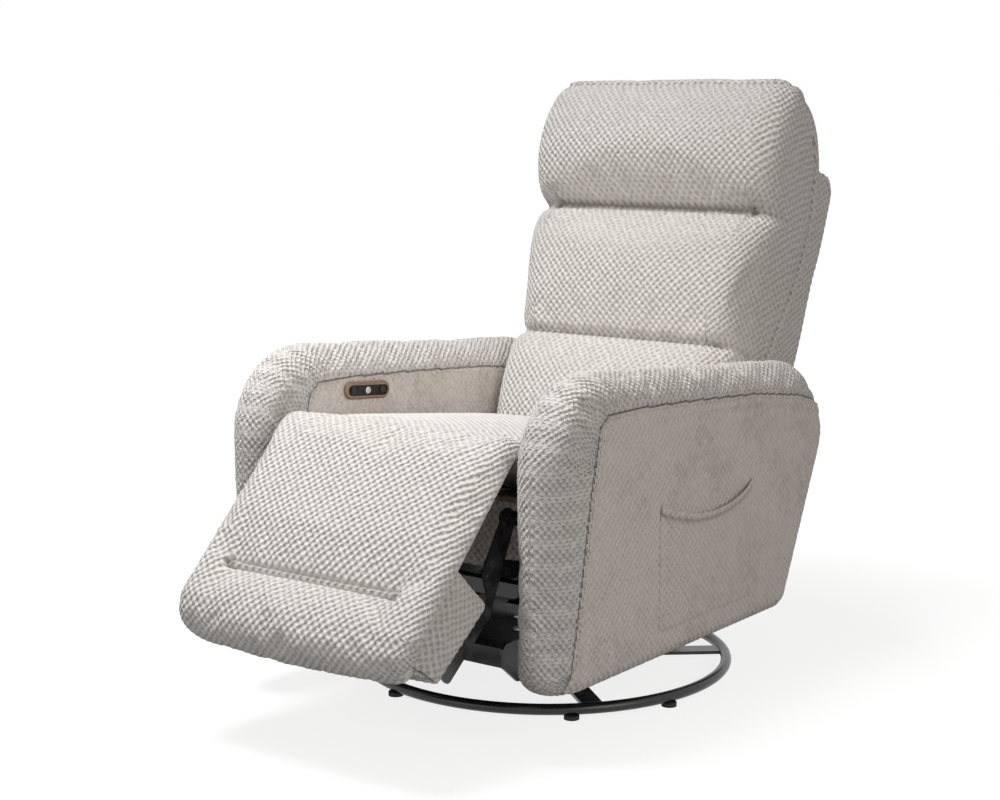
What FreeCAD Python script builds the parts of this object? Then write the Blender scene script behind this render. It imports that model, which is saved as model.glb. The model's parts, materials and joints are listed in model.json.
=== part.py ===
import FreeCAD, Part
import math
import os

# Power swivel rocker recliner, in millimetres. The origin is on the floor under the swivel bolt.
# +Z is up, the sitter faces -Y, and +X is the sitter's left.

V = FreeCAD.Vector

# Overall sizes
chair_width = 700.0
arm_thickness = 105.0
arm_drop = 112.0
arm_height = 492.0
arm_front = -462.0
arm_top_slope = 0.065
arm_rear_foot = 268.0
arm_rear_slope = 0.473
arm_edge_round = 28.0
arm_toe_round = 40.0
arm_brow_round = 150.0
arm_tail_round = 129.0
arm_heel_round = 10.0
arm_brow_rise = 14.0

# Plywood frame inside each arm
frame_inset = 44.0
frame_thickness = 22.0
frame_floor = 4.0
frame_heel_inset = 20.0
frame_tail_inset = 150.0
frame_tail_round = 60.0
frame_brow_round = 110.0
frame_window_front = 120.0
frame_window_rear = 90.0
frame_window_lean = 60.0
frame_window_bottom = 80.0
frame_window_top = 140.0
frame_window_round = 30.0

# Clearances
slide_gap = 0.3
pin_gap = 0.2
layer_gap = 0.6
side_gap = 4.0
head_gap = 1.0
cut_past = 1.0

# Swivel base
ring_radius = 327.0
ring_tube = 19.0
glide_height = 7.0
glide_diameter = 26.0
glide_angles = (-106.0, -47.0, -15.0)
spoke_width = 36.0
spoke_thickness = 6.0
spoke_angle = 40.0
swivel_plate = 5.0
swivel_disc_radius = 95.0
race_outer = 86.0
race_inner = 56.0
race_lip = 8.0
race_height = 15.5
race_lip_gap = 2.0
bolt_diameter = 16.0

# Rocker
rail_spread = 115.0
rail_height = 73.0
rail_half_length = 285.0
rail_chamfer = 40.0
rail_chamfer_rise = 32.0
rail_round = 4.0
rail_end_round = 12.0
rail_steel = 5.0
rail_flange = 42.0
flange_half_length = 215.0
crossbar_offset = 180.0
crossbar_height = 34.0
crossbar_width = 40.0
rock_radius = 620.0
cam_half_length = 205.0
cam_height = 66.0
cam_tread = 26.0
cam_hole = 22.0
cam_hole_offset = 113.0
cam_hole_drop = 22.0
cam_middle_drop = 30.0
shelf_drop = 18.0
spring_offset = 85.0
spring_radius = 19.0
spring_wire = 5.0
spring_turns = 3.5
spring_seat = 4.0

# Mechanism
base_rail_height = 28.0
base_rail_width = 40.0
base_rail_front = -280.0
base_rail_rear = 230.0
cross_tube = 25.0
tube_front = -235.0
tube_rear = 170.0
tube_wall = 2.0
link_steel = 4.0
link_width = 24.0
pin_radius = 5.0
rivet_radius = 8.0
rivet_head = 1.6
arm_reach = 15.0
bracket_half = 22.0
bracket_rise = 24.0
bracket_lap = 2.0

# Side plates: steel left round the pivots and tubes, and the windows between them
plate_foot = 34.0
plate_lap = 4.0
plate_round = 12.0
pivot_boss = 18.0
back_boss = 24.0
plate_knee_round = 40.0
plate_neck = 48.0
plate_waist = 70.0
plate_hip = 60.0
plate_hollow_round = 30.0
window_margin = 16.0
window_side = 40.0
window_head = 60.0
window_round = 14.0

# Legrest linkage: two cranks and two bars that swing the ottoman about the knee
knee_y = -380.0
knee_rise = 228.0
legrest_slope = 46.0
pivot_slope = 14.0
front_crank_reach = 130.0
rear_crank_reach = 230.0
crank_slope = 60.0
upper_bar_radius = 80.0
lower_bar_radius = 160.0
drive_radius = 120.0
torque_offset_y = 124.0
torque_offset_z = -118.0
torque_tube_diameter = 22.0
torque_tube_wall = 2.0
lever_reach = 75.0
lever_width = 38.0
lever_half_gap = 20.0
lever_slot = 20.0
lever_slot_travel = 32.0
lever_slot_start = 6.0
lever_tip = 8.0

# Actuator
actuator_rail = 24.0
actuator_length = 330.0
carriage_length = 46.0
motor_length = 96.0
motor_diameter = 62.0
motor_gap = 6.0
motor_lap = 10.0
gearbox_half_width = 24.0
gearbox_half_length = 26.0
gearbox_height = 22.0
inlet_diameter = 12.0
inlet_bore = 7.0
inlet_length = 10.0
inlet_floor = 2.0
mount_half = 28.0
mount_thickness = 12.0
mount_lap = 4.0
mount_rise = 10.0
carriage_wall = 5.0
carriage_pin_past = 3.0

# Seat box
board = 24.0
seat_front = -345.0
seat_rear = 190.0
deck_rise = 171.0
deck_slope = 0.123
side_board_depth = 62.0
rear_board = 19.0
board_round = 3.0
foot_round = 4.0
apron_round = 16.0
arch_round = 30.0
arch_rear_rise = 24.0
foot_length = 50.0
front_board_rise = 54.0
rear_board_depth = 74.0
panel_thickness = 8.0
panel_lap = 2.0
strap_width = 46.0
strap_thickness = 1.5
cross_straps = 6
long_straps = 4

# Seat cushion
seat_cushion_front = -386.0
seat_cushion_rear = 104.0
seat_rim = 90.0
seat_crown = 105.0
seat_undercut = 60.0
seat_tuck = 9.0
seat_fall = 0.18
seat_fall_start = 0.8
seat_stations = (0, 0.1, 0.3, 0.55, 0.8, 0.92, 1)

# Stations along each stuffed chamber of the legrest and the back
chamber_stations = (0, 0.05, 0.2, 0.5, 0.8, 0.95)

# Legrest pad and ottoman, measured along the pad from the knee
pad_start = 12.0
pad_channel = 283.0
pad_end = 394.0
pad_back = 38.0
pad_line = 55.0
pad_bulge = 18.0
pad_edge_drop = 10.0
pad_lip_drop = 8.0
pad_tuck = 6.0
roll_base = 12.0
roll_shift = 6.0
roll_inner = 24.0
roll_swell = 4.0
box_start = 204.0
box_depth_top = 65.0
box_depth_bottom = 41.0
box_toe = 14.0
box_lip = 2.0
box_round = 10.0
box_seam_round = 6.0
box_heel_round = 16.0
box_toe_round = 30.0
ottoman_board = 15.0
ottoman_board_inset = 14.0
ottoman_board_heel = 20.0

# Ottoman brackets: corners along the pad and out from the knee line
bracket_top = (62.0, -4.0)
bracket_chin = (64.0, -38.0)
bracket_elbow = (150.0, -66.0)
bracket_waist = (176.0, -26.0)
bracket_depth = 26.0
bracket_foot = 40.0
bracket_inset = 12.0
bracket_round = 10.0
bracket_elbow_round = 30.0

# Back
back_pivot_y = 185.0
back_pivot_rise = 126.0
back_tilt = 22.0
back_side_gap = 5.0
back_bottom = 36.0
lower_channel = 238.0
upper_channel = 497.0
back_top = 740.0
cushion_rear = 106.0
shell_bottom = 70.0
shell_top = 648.0
shell_rear = 225.0
shell_wall = 14.0
shell_round = 45.0
shell_edge_round = 9.0
shell_foot_round = 20.0
shell_lean = 16.0
post_depth = 40.0
post_bottom = 26.0
post_top = 620.0
post_round = 3.0
back_rail_height = 50.0
lower_rail_rise = 30.0
middle_rail_up = 317.0
back_strap_margin = 50.0
back_bracket_half = 18.0
back_bracket_top = 150.0
back_bracket_inset = 3.0
back_bracket_nose = 17.0
back_bracket_round = 8.0

# Back chambers: face at the lower and the upper seam, swell of rim and crown, swell of the sides
lower_chamber = (-62.0, -50.0, 28.0, 54.0, 5.0)
middle_chamber = (-50.0, -30.0, 24.0, 52.0, 5.0)
head_chamber = (-30.0, -45.0, 52.0, 66.0, 12.0)
seam_crown = 2.0
back_tuck = 12.0
head_fall = 0.9
top_inset = 12.0
top_rear = 22.0
top_front = -32.0
top_crown = 4.0

# Controls on the right arm's inner face
control_y = -204.0
control_rise = 402.0
control_tilt = -5.0
control_length = 119.0
control_height = 31.0
control_frame = 6.0
control_proud = 6.0
control_face = 3.5
control_depth = 30.0
bezel_chamfer = 2.5
case_wall = 1.5
button_diameter = 13.0
button_pitch = 39.0
button_proud = 3.0
button_travel = 1.5
button_flange = 1.5
button_chamfer = 1.2
button_root_gap = 0.2

# Pocket on the left arm's outer face
pocket_front = -172.0
pocket_rear = 130.0
pocket_rise = 50.0
pocket_height = 213.0
pocket_sag = 32.0
pocket_hem = 8.0
pocket_cloth = 4.0
pocket_space = 8.0

# Places that follow from the sizes above
arm_outer = chair_width / 2
arm_inner = arm_outer - arm_thickness
seat_half = arm_inner - side_gap
back_half = seat_half - back_side_gap
plate_out = arm_inner - arm_reach
plate_in = plate_out - link_steel
crank_out = plate_in - layer_gap
crank_in = crank_out - link_steel
bar_out = crank_in - layer_gap
bar_in = bar_out - link_steel
drive_out = bar_in - layer_gap
drive_in = drive_out - link_steel
board_out = drive_in - layer_gap - rivet_head - head_gap
board_in = board_out - board
ring_z = glide_height + ring_tube / 2
spoke_top = ring_z + spoke_thickness / 2
disc_top = spoke_top + swivel_plate
race_top = disc_top + race_height
swivel_top = race_top + swivel_plate
rail_top = swivel_top + rail_height
rock_z = rail_top + rock_radius
cam_top = rail_top + cam_height
base_rail_top = cam_top + base_rail_height
tube_bottom = base_rail_top - cross_tube
deck_front = base_rail_top + deck_rise
front_board_bottom = base_rail_top + front_board_rise
arm_bottom = base_rail_top - arm_drop
arm_top_front = arm_bottom + arm_height
control_z = arm_bottom + control_rise
pocket_bottom = arm_bottom + pocket_rise
pocket_mouth = pocket_bottom + pocket_height


def polar(origin, radius, degrees):
    """Point in the YZ plane at a radius and angle from an origin."""
    turn = math.radians(degrees)
    return origin[0] + radius * math.cos(turn), origin[1] + radius * math.sin(turn)


knee = (knee_y, base_rail_top + knee_rise)
front_pivot = polar(knee, front_crank_reach, -pivot_slope)
rear_pivot = polar(knee, rear_crank_reach, -pivot_slope)
crank_angle = 180.0 + crank_slope
torque_pivot = (rear_pivot[0] + torque_offset_y, rear_pivot[1] + torque_offset_z)
back_pivot = (back_pivot_y, base_rail_top + back_pivot_rise)


def leg(along, out):
    """YZ point of the legrest: along the pad from the knee, and out from the knee line to the pad's face."""
    return polar(polar(knee, along, 180 + legrest_slope), out, 90 + legrest_slope)


def rest(behind, up):
    """YZ point of the back: behind the recline pivot, and up along the back."""
    return polar(polar(back_pivot, behind, -back_tilt), up, 90 - back_tilt)


def deck_z(y):
    """Height of the sloping seat deck."""
    return deck_front - deck_slope * (y - seat_front)


# General forms


def outline(corners):
    """Closed YZ wire through (y, z, radius) corners, each rounded to its radius."""
    spans = []
    for i, (y, z, radius) in enumerate(corners):
        here = V(0, y, z)
        back_way = (V(0, *corners[i - 1][:2]) - here).normalize()
        on_way = (V(0, *corners[(i + 1) % len(corners)][:2]) - here).normalize()
        half = back_way.getAngle(on_way) / 2
        reach = radius / math.tan(half)
        middle = here + (back_way + on_way).normalize() * (radius / math.sin(half) - radius)
        spans.append((here + back_way * reach, middle, here + on_way * reach, radius))
    edges = []
    for i, (start, middle, end, radius) in enumerate(spans):
        if radius > 0:
            edges.append(Part.Arc(start, middle, end).toShape())
        following = spans[(i + 1) % len(spans)][0]
        if (following - end).Length > 1e-6:
            edges.append(Part.LineSegment(end, following).toShape())
    return Part.Wire(edges)


def plate(corners, x0, x1):
    """Slab between two X planes with a rounded YZ outline."""
    face = Part.Face(outline(corners))
    face.translate(V(x0, 0, 0))
    return face.extrude(V(x1 - x0, 0, 0))


def mapped(corners, place):
    """Corners given in a local YZ frame, moved to the chair's frame."""
    return [(*place(a, b), radius) for a, b, radius in corners]


def box(x0, x1, y0, y1, z0, z1):
    return Part.makeBox(x1 - x0, y1 - y0, z1 - z0, V(x0, y0, z0))


def rod(point, radius, x0, x1):
    """Cylinder along X at a YZ point."""
    return Part.makeCylinder(radius, x1 - x0, V(x0, *point), V(1, 0, 0))


def disc(radius, z0, z1, x=0.0, y=0.0):
    """Cylinder along Z."""
    return Part.makeCylinder(radius, z1 - z0, V(x, y, z0))


def mirrored(shape):
    return shape.mirror(V(0, 0, 0), V(1, 0, 0))


def both(shape):
    """A left piece and its mirrored right one."""
    return [shape, mirrored(shape)]


def end_edges(shape):
    """Edges that lie in planes across X."""
    return [edge for edge in shape.Edges if edge.BoundBox.XLength < 1e-6]


def link(first, second, x0, x1, width=link_width):
    """Flat bar with round ends about two YZ points."""
    span_y, span_z = second[0] - first[0], second[1] - first[1]
    length = math.hypot(span_y, span_z)
    side_y, side_z = -span_z / length * width / 2, span_y / length * width / 2
    web = [(first[0] + side_y, first[1] + side_z, 0), (second[0] + side_y, second[1] + side_z, 0),
           (second[0] - side_y, second[1] - side_z, 0), (first[0] - side_y, first[1] - side_z, 0)]
    bar = plate(web, x0, x1)
    return bar.fuse([rod(first, width / 2, x0, x1), rod(second, width / 2, x0, x1)]).removeSplitter()


def pierced(shape, points, x0, x1, radius=pin_radius + pin_gap):
    """Shape with pin holes along X at YZ points."""
    return shape.cut([rod(point, radius, x0 - cut_past, x1 + cut_past) for point in points])


def stud(point, start, end):
    """Riveted stud that runs inward from one X plane to a head past another."""
    shank = rod(point, pin_radius, end - layer_gap / 2, start)
    head = rod(point, rivet_radius, end - layer_gap / 2 - rivet_head, end - layer_gap / 2)
    return shank.fuse(head)


def pad_section(place, half_width, base, rim, crown, tuck):
    """Closed section of a cushion: flat base, drawn-in sides, and a crowned face between its rims."""
    middle = (base + rim) / 2
    base_right, base_left = place(half_width - tuck, base), place(tuck - half_width, base)
    rim_right, rim_left = place(half_width - tuck, rim), place(tuck - half_width, rim)
    return Part.Wire([
        Part.LineSegment(base_left, base_right).toShape(),
        Part.Arc(base_right, place(half_width, middle), rim_right).toShape(),
        Part.Arc(rim_right, place(0, crown), rim_left).toShape(),
        Part.Arc(rim_left, place(-half_width, middle), base_left).toShape()])


def swell(fraction):
    """Fullness of a stuffed chamber, from 0 at its seams to 1 at its middle."""
    return math.sin(math.pi * fraction) ** 0.7


def loft(sections):
    return Part.makeLoft(sections, True, True)


def save(name, *solids):
    shape = solids[0] if len(solids) == 1 else Part.makeCompound(list(solids))
    shape.exportStep(f"parts/{name}.step")


def save_pair(name, shape):
    save(name + "_left", shape)
    save(name + "_right", mirrored(shape))


os.makedirs("parts", exist_ok=True)

# Swivel base

ring = Part.makeTorus(ring_radius, ring_tube / 2, V(0, 0, ring_z))
ring_seat = Part.makeTorus(ring_radius, ring_tube / 2 + pin_gap, V(0, 0, ring_z))
save("base_ring", ring)

glides = []
for angle in glide_angles + tuple(a + 180 for a in glide_angles):
    y, x = polar((0, 0), ring_radius, 90 - angle)
    glides.append(disc(glide_diameter / 2, 0, glide_height, x, y))
save("base_glides", *glides)

spokes = []
for angle in (spoke_angle, -spoke_angle):
    spoke = box(-ring_radius, ring_radius, -spoke_width / 2, spoke_width / 2,
                spoke_top - spoke_thickness, spoke_top)
    spoke.rotate(V(0, 0, 0), V(0, 0, 1), angle)
    spokes.append(spoke)
bolt_hole = disc(bolt_diameter / 2 + slide_gap, 0, swivel_top + cut_past)
save("base_spokes", spokes[0].fuse(spokes[1]).cut([ring_seat, bolt_hole]).removeSplitter())

save("swivel_lower_plate", disc(swivel_disc_radius, spoke_top, disc_top).cut(bolt_hole))
lip_radius = race_inner + race_lip
lower_race = disc(race_outer, disc_top, disc_top + race_height / 2)
lower_race = lower_race.fuse(disc(lip_radius, disc_top, race_top - race_lip_gap))
save("swivel_lower_race", lower_race.cut(disc(race_inner, disc_top, race_top)).removeSplitter())
upper_race = disc(race_outer, disc_top + race_height / 2 + slide_gap, race_top)
save("swivel_upper_race", upper_race.cut(disc(lip_radius + slide_gap, disc_top, race_top)))

# Swivelling rocker base

rail_in = rail_spread - rail_steel / 2
upper_half = rail_spread + rail_steel
upper_plate = box(-upper_half, upper_half, -swivel_disc_radius, swivel_disc_radius, race_top, swivel_top)
save("swivel_upper_plate", upper_plate.cut(disc(bolt_diameter / 2, race_top, swivel_top)))
nut_height = bolt_diameter / 2
spoke_bottom = spoke_top - spoke_thickness
bolt = disc(bolt_diameter / 2, spoke_bottom - slide_gap - nut_height, swivel_top)
bolt = bolt.fuse(disc(bolt_diameter, swivel_top, swivel_top + nut_height))
nut = disc(bolt_diameter * 0.8, spoke_bottom - slide_gap - nut_height, spoke_bottom - slide_gap)
save("swivel_bolt", bolt.removeSplitter(), nut.cut(disc(bolt_diameter / 2, 0, spoke_bottom)))

chamfer_top = swivel_top + rail_chamfer_rise
rail_corners = [(-rail_half_length + rail_chamfer, swivel_top, rail_round),
                (rail_half_length - rail_chamfer, swivel_top, rail_round),
                (rail_half_length, chamfer_top, rail_round), (rail_half_length, rail_top, rail_end_round),
                (-rail_half_length, rail_top, rail_end_round), (-rail_half_length, chamfer_top, rail_round)]
rail = plate(rail_corners, rail_in, rail_in + rail_steel)
rail = rail.fuse(box(rail_in, rail_in + rail_flange, -flange_half_length, flange_half_length,
                     rail_top - rail_steel, rail_top)).removeSplitter()
save_pair("rocker_rail", rail)

crossbar_top = swivel_top + crossbar_height
crossbars = []
for side in (-1, 1):
    middle = side * crossbar_offset
    half = crossbar_width / 2
    bar = box(-rail_in, rail_in, middle - half, middle + half, swivel_top, crossbar_top)
    half -= rail_steel
    crossbars.append(bar.cut(box(-rail_in, rail_in, middle - half, middle + half,
                                 swivel_top, crossbar_top - rail_steel)))
save("rocker_crossbars", *crossbars)

# Rocker cams, with the inner shelves that the springs push on

cam_middle = rail_in + rail_flange / 2 + rail_steel / 2
cam_radius = rock_radius - slide_gap
rock_axis = (0, rock_z)
cam_web = box(cam_middle - rail_steel / 2, cam_middle + rail_steel / 2, -cam_half_length, cam_half_length,
              rail_top, cam_top)
cam_web = cam_web.common(rod(rock_axis, cam_radius, 0, arm_inner))
cam_holes = [(-cam_hole_offset, cam_top - cam_hole_drop), (0, cam_top - cam_middle_drop),
             (cam_hole_offset, cam_top - cam_hole_drop)]
cam_web = pierced(cam_web, cam_holes, 0, arm_inner, cam_hole / 2)
tread = rod(rock_axis, cam_radius, cam_middle - cam_tread / 2, cam_middle + cam_tread / 2)
tread = tread.cut(rod(rock_axis, cam_radius - rail_steel, 0, arm_inner))
tread = tread.common(box(0, arm_inner, -cam_half_length, cam_half_length, rail_top, cam_top))
shelf_top = cam_top - shelf_drop
shelf_in = spring_offset - spring_radius - spring_wire
shelves = []
for middle in (-crossbar_offset, crossbar_offset):
    shelves.append(box(shelf_in, cam_middle, middle - crossbar_width / 2, middle + crossbar_width / 2,
                       shelf_top - spring_seat, shelf_top))
save_pair("rocker_cam", cam_web.fuse([tread, *shelves]).removeSplitter())


def arc_to(start, start_way, end, reach):
    """Arc from a point along its tangent to an end point, both a reach from where their tangents cross."""
    crossing = start + start_way * reach
    chord_middle = (start + end) / 2
    rise = crossing - chord_middle
    half_chord = (end - start).Length / 2
    sagitta = half_chord * math.tan(math.atan2(rise.Length, half_chord) / 2)
    return Part.Arc(start, chord_middle + rise.normalize() * sagitta, end).toShape()


def coil_spring(x, y, z0, z1):
    """Coil spring between two seats: tangent arcs, two to each quarter turn."""
    quarters = int(spring_turns * 4)
    rise = (z1 - z0 - spring_wire) / quarters
    slope = rise / (spring_radius * math.pi / 2)
    points, ways = [], []
    for i in range(quarters + 1):
        turn = i * math.pi / 2
        points.append(V(x + spring_radius * math.cos(turn), y + spring_radius * math.sin(turn),
                        z0 + spring_wire / 2 + i * rise))
        ways.append(V(-math.sin(turn), math.cos(turn), slope).normalize())
    edges = []
    for i in range(quarters):
        span, sum_way = points[i + 1] - points[i], ways[i] + ways[i + 1]
        bend = 2 * (ways[i].dot(ways[i + 1]) - 1)
        lean = span.dot(sum_way)
        reach = (lean - math.sqrt(lean ** 2 - bend * span.dot(span))) / bend
        joint = (points[i] + ways[i] * reach + points[i + 1] - ways[i + 1] * reach) / 2
        edges.append(arc_to(points[i], ways[i], joint, reach))
        edges.append(arc_to(points[i + 1], ways[i + 1] * -1, joint, reach))
    path = Part.Wire(Part.sortEdges(edges)[0])
    out, up = V(1, 0, 0), ways[0].cross(V(1, 0, 0))
    corners = [points[0] + out * math.cos(i * math.pi / 3) * spring_wire / 2
               + up * math.sin(i * math.pi / 3) * spring_wire / 2 for i in range(6)]
    section = Part.makePolygon(corners + corners[:1])
    later = [(i, j) for i in range(quarters + 1) for j in range(i + 3, quarters + 1)]
    least = min((points[i] - points[j]).Length for i, j in later)
    print("spring: least gap between turns", round(least - spring_wire, 2), "mm")
    return path.makePipeShell([section], True, False)


springs = []
for side in (-1, 1):
    for end in (-1, 1):
        springs.append(coil_spring(side * spring_offset, end * crossbar_offset, crossbar_top + slide_gap,
                                   shelf_top - spring_seat - slide_gap))
save("rocker_springs", *springs)

# Rocking frame: rails on the cams, cross tubes, side plates and arm brackets

angle_in, angle_out = cam_middle - base_rail_width / 2, cam_middle + base_rail_width / 2
base_rail = box(angle_in, angle_out, base_rail_front, base_rail_rear, cam_top, base_rail_top)
base_rail = base_rail.cut(box(angle_in, angle_out - rail_steel, base_rail_front, base_rail_rear,
                              cam_top + rail_steel, base_rail_top))
tube_notches = [box(0, arm_inner, y - cross_tube / 2, y + cross_tube / 2, tube_bottom, base_rail_top)
                for y in (tube_front, tube_rear)]
save("base_rails", *both(base_rail.cut(tube_notches)))

tubes = []
for y in (tube_front, tube_rear):
    tube = box(-plate_in, plate_in, y - cross_tube / 2, y + cross_tube / 2, tube_bottom, base_rail_top)
    inside = cross_tube / 2 - tube_wall
    tubes.append(tube.cut(box(-plate_in, plate_in, y - inside, y + inside,
                              tube_bottom + tube_wall, base_rail_top - tube_wall)))
save("cross_tubes", *tubes)

plate_bottom = tube_bottom - plate_lap
plate_corners = [(tube_front - plate_foot, plate_bottom, plate_round),
                 (tube_front - plate_foot, front_pivot[1] - pivot_boss, plate_knee_round),
                 (front_pivot[0] - pivot_boss, front_pivot[1] + pivot_boss, pivot_boss),
                 (rear_pivot[0] + pivot_boss, rear_pivot[1] + pivot_boss, pivot_boss),
                 (torque_pivot[0] - plate_foot, torque_pivot[1] + plate_neck, plate_hollow_round),
                 (back_pivot[0] - plate_waist, back_pivot[1] - plate_hollow_round, plate_knee_round),
                 (back_pivot[0] - back_boss, back_pivot[1] + back_boss, back_boss - plate_lap),
                 (back_pivot[0] + back_boss, back_pivot[1] + back_boss, back_boss - plate_lap),
                 (tube_rear + plate_foot, tube_bottom + plate_hip, plate_hollow_round),
                 (tube_rear + plate_foot, plate_bottom, plate_round)]
window_floor = base_rail_top + window_margin
front_start, front_end = tube_front + window_side, torque_pivot[0] - window_side
rear_start, rear_end = torque_pivot[0] + window_side, tube_rear - window_side
rear_head = torque_pivot[1] + window_margin
front_window = [(front_start, window_floor), (front_start, front_pivot[1] - window_head),
                (rear_pivot[0], rear_pivot[1] - window_head), (front_end, torque_pivot[1]),
                (front_end, window_floor)]
rear_window = [(rear_start, window_floor), (rear_start, rear_head), (rear_end, rear_head),
               (rear_end, window_floor)]
side_plate = plate(plate_corners, plate_in, plate_out)
for window in (front_window, rear_window):
    corners = [(y, z, window_round) for y, z in window]
    side_plate = side_plate.cut(plate(corners, plate_in - cut_past, plate_out + cut_past))
side_plate = pierced(side_plate, [front_pivot, rear_pivot, back_pivot], plate_in, plate_out)
side_plate = pierced(side_plate, [torque_pivot], plate_in, plate_out, torque_tube_diameter / 2 + slide_gap)
save_pair("side_plate", side_plate)

pins = []
for point in (front_pivot, rear_pivot, back_pivot):
    shank = rod(point, pin_radius, crank_in, plate_out + rivet_head)
    pins += both(shank.fuse(rod(point, rivet_radius, plate_out, plate_out + rivet_head)).removeSplitter())
save("pivot_pins", *pins)

brackets = []
for y in (tube_front, tube_rear):
    low, high = tube_bottom - bracket_lap, base_rail_top + bracket_rise
    bracket = box(plate_out, arm_inner, y - bracket_half, y + bracket_half, low, high)
    inside = box(plate_out + link_steel, arm_inner - link_steel, y - bracket_half + link_steel,
                 y + bracket_half, low - cut_past, high + cut_past)
    brackets += both(bracket.cut(inside))
save("arm_brackets", *brackets)

# Seat box

foot_front, foot_rear = tube_front - foot_length / 2, tube_front + foot_length / 2
side_corners = [(seat_front + board, front_board_bottom, foot_round),
                (foot_front, front_board_bottom, apron_round),
                (foot_front, base_rail_top, foot_round), (foot_rear, base_rail_top, foot_round),
                (tube_front + foot_length, deck_z(tube_front) - side_board_depth, arch_round),
                (tube_rear - foot_length, deck_z(tube_rear) - side_board_depth + arch_rear_rise, arch_round),
                (tube_rear - foot_length / 2, base_rail_top, foot_round),
                (seat_rear, base_rail_top, foot_round),
                (seat_rear, deck_z(seat_rear), 0), (seat_front + board, deck_z(seat_front + board), 0)]
save("seat_sides", *both(plate(side_corners, board_in, board_out)))


def cross_board(y0, y1, bottom, round_front, round_rear, half_width):
    """Board across the seat between two Y planes, up to the deck, with its free edges rounded."""
    corners = [(y0, bottom, round_front), (y1, bottom, round_rear), (y1, deck_z(y1), round_rear),
               (y0, deck_z(y0), round_front)]
    return plate(corners, -half_width, half_width)


save("seat_front_board", cross_board(seat_front, seat_front + board, front_board_bottom,
                                     board_round, 0, board_out))
save("seat_rear_board", cross_board(seat_rear, seat_rear + rear_board, deck_z(seat_rear) - rear_board_depth,
                                    0, board_round, board_out))
save("front_panel", cross_board(seat_front - panel_thickness, seat_front, front_board_bottom - panel_lap,
                                board_round, 0, board_out + panel_lap))


def strap(y0, y1, x0, x1, layer):
    """Webbing strap lying on the seat deck, in the lower or upper layer."""
    low, high = layer * strap_thickness, (layer + 1) * strap_thickness
    corners = [(y0, deck_z(y0) + low, 0), (y1, deck_z(y1) + low, 0),
               (y1, deck_z(y1) + high, 0), (y0, deck_z(y0) + high, 0)]
    return plate(corners, x0, x1)


strap_pitch = (seat_rear - seat_front) / cross_straps
straps = []
for i in range(cross_straps):
    middle = seat_front + strap_pitch * (i + 0.5)
    straps.append(strap(middle - strap_width / 2, middle + strap_width / 2, -board_out, board_out, 0))
for i in range(long_straps):
    middle = board_in * ((2 * i + 1) / long_straps - 1)
    straps.append(strap(seat_front, seat_rear, middle - strap_width / 2, middle + strap_width / 2, 1))
save("seat_webbing", *straps)

# Seat cushion: sections across the seat from the knee to the back

webbing = 2 * strap_thickness + slide_gap
sections = []
for fraction in seat_stations:
    y = seat_cushion_front + fraction * (seat_cushion_rear - seat_cushion_front)
    base = deck_z(y) + webbing
    fall = 1 - seat_fall * max(0, (fraction - seat_fall_start) / (1 - seat_fall_start)) ** 2
    sections.append(pad_section(lambda x, z, y=y: V(x, y, z), seat_half, base, base + seat_rim * fall,
                                base + seat_crown * fall, seat_tuck))
cut_front, cut_rear = seat_cushion_front - cut_past, seat_cushion_rear + cut_past
deck_ends = deck_z(cut_front), deck_z(cut_rear)
undercut = [(cut_front, deck_ends[0] - seat_undercut, 0), (cut_rear, deck_ends[1] - seat_undercut, 0),
            (cut_rear, deck_ends[1] + seat_undercut, 0), (cut_front, deck_ends[0] + seat_undercut, 0)]
save("seat_cushion", loft(sections).cut(both(plate(undercut, board_out + head_gap, arm_inner))))

# Legrest: pad with its sewn channel, the knee roll that joins it to the seat, ottoman box, board and brackets

seat_end = seat_cushion_front - slide_gap
seat_base = deck_z(seat_cushion_front) + webbing


def pad_face(along):
    """Height of the pad's middle above the knee line, with its two stuffed chambers."""
    start, end = (pad_start, pad_channel) if along < pad_channel else (pad_channel, pad_end)
    line = pad_line - (pad_lip_drop if along >= pad_end else 0)
    return line + pad_bulge * swell((along - start) / (end - start))


sections = []
for start, end in ((pad_start, pad_channel), (pad_channel, pad_end)):
    for fraction in chamber_stations:
        along = start + fraction * (end - start)
        sections.append(pad_section(lambda x, out, s=along: V(x, *leg(s, out)), seat_half, pad_back,
                                    pad_face(along) - pad_edge_drop, pad_face(along), pad_tuck))
sections.append(pad_section(lambda x, out: V(x, *leg(pad_end, out)), seat_half - pad_tuck, pad_back,
                            pad_face(pad_end) - pad_edge_drop / 2, pad_face(pad_end), pad_tuck))
save("legrest_pad", loft(sections))

roll_angle = 90 + legrest_slope / 2
roll_sections = [
    pad_section(lambda x, z: V(x, seat_end, z), seat_half, knee[1] + roll_base, seat_base + seat_rim,
                seat_base + seat_crown, pad_tuck),
    pad_section(lambda x, out: V(x, *polar((knee_y - roll_shift, knee[1]), out, roll_angle)), seat_half,
                roll_inner, pad_line - pad_edge_drop + roll_swell / 2, pad_line + roll_swell, pad_tuck),
    pad_section(lambda x, out: V(x, *leg(pad_start - slide_gap, out)), seat_half, pad_back,
                pad_line - pad_edge_drop, pad_line, pad_tuck)]
save("knee_roll", loft(roll_sections))

box_front = pad_back - slide_gap
box_heel = pad_end - box_toe
box_corners = mapped([(box_start, box_front, box_seam_round), (box_start, -box_depth_top, box_round),
                      (box_heel, -box_depth_bottom, box_heel_round), (pad_end, 0, box_toe_round),
                      (pad_end - box_lip, box_front, box_seam_round)], leg)
ottoman_box = plate(box_corners, -seat_half, seat_half)
ottoman_box = ottoman_box.makeFillet(box_round, end_edges(ottoman_box))


def box_back(along, behind):
    """YZ point at a distance behind the ottoman box's back face."""
    share = (along - box_start) / (box_heel - box_start)
    return leg(along, -box_depth_top + share * (box_depth_top - box_depth_bottom) - behind)


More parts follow.
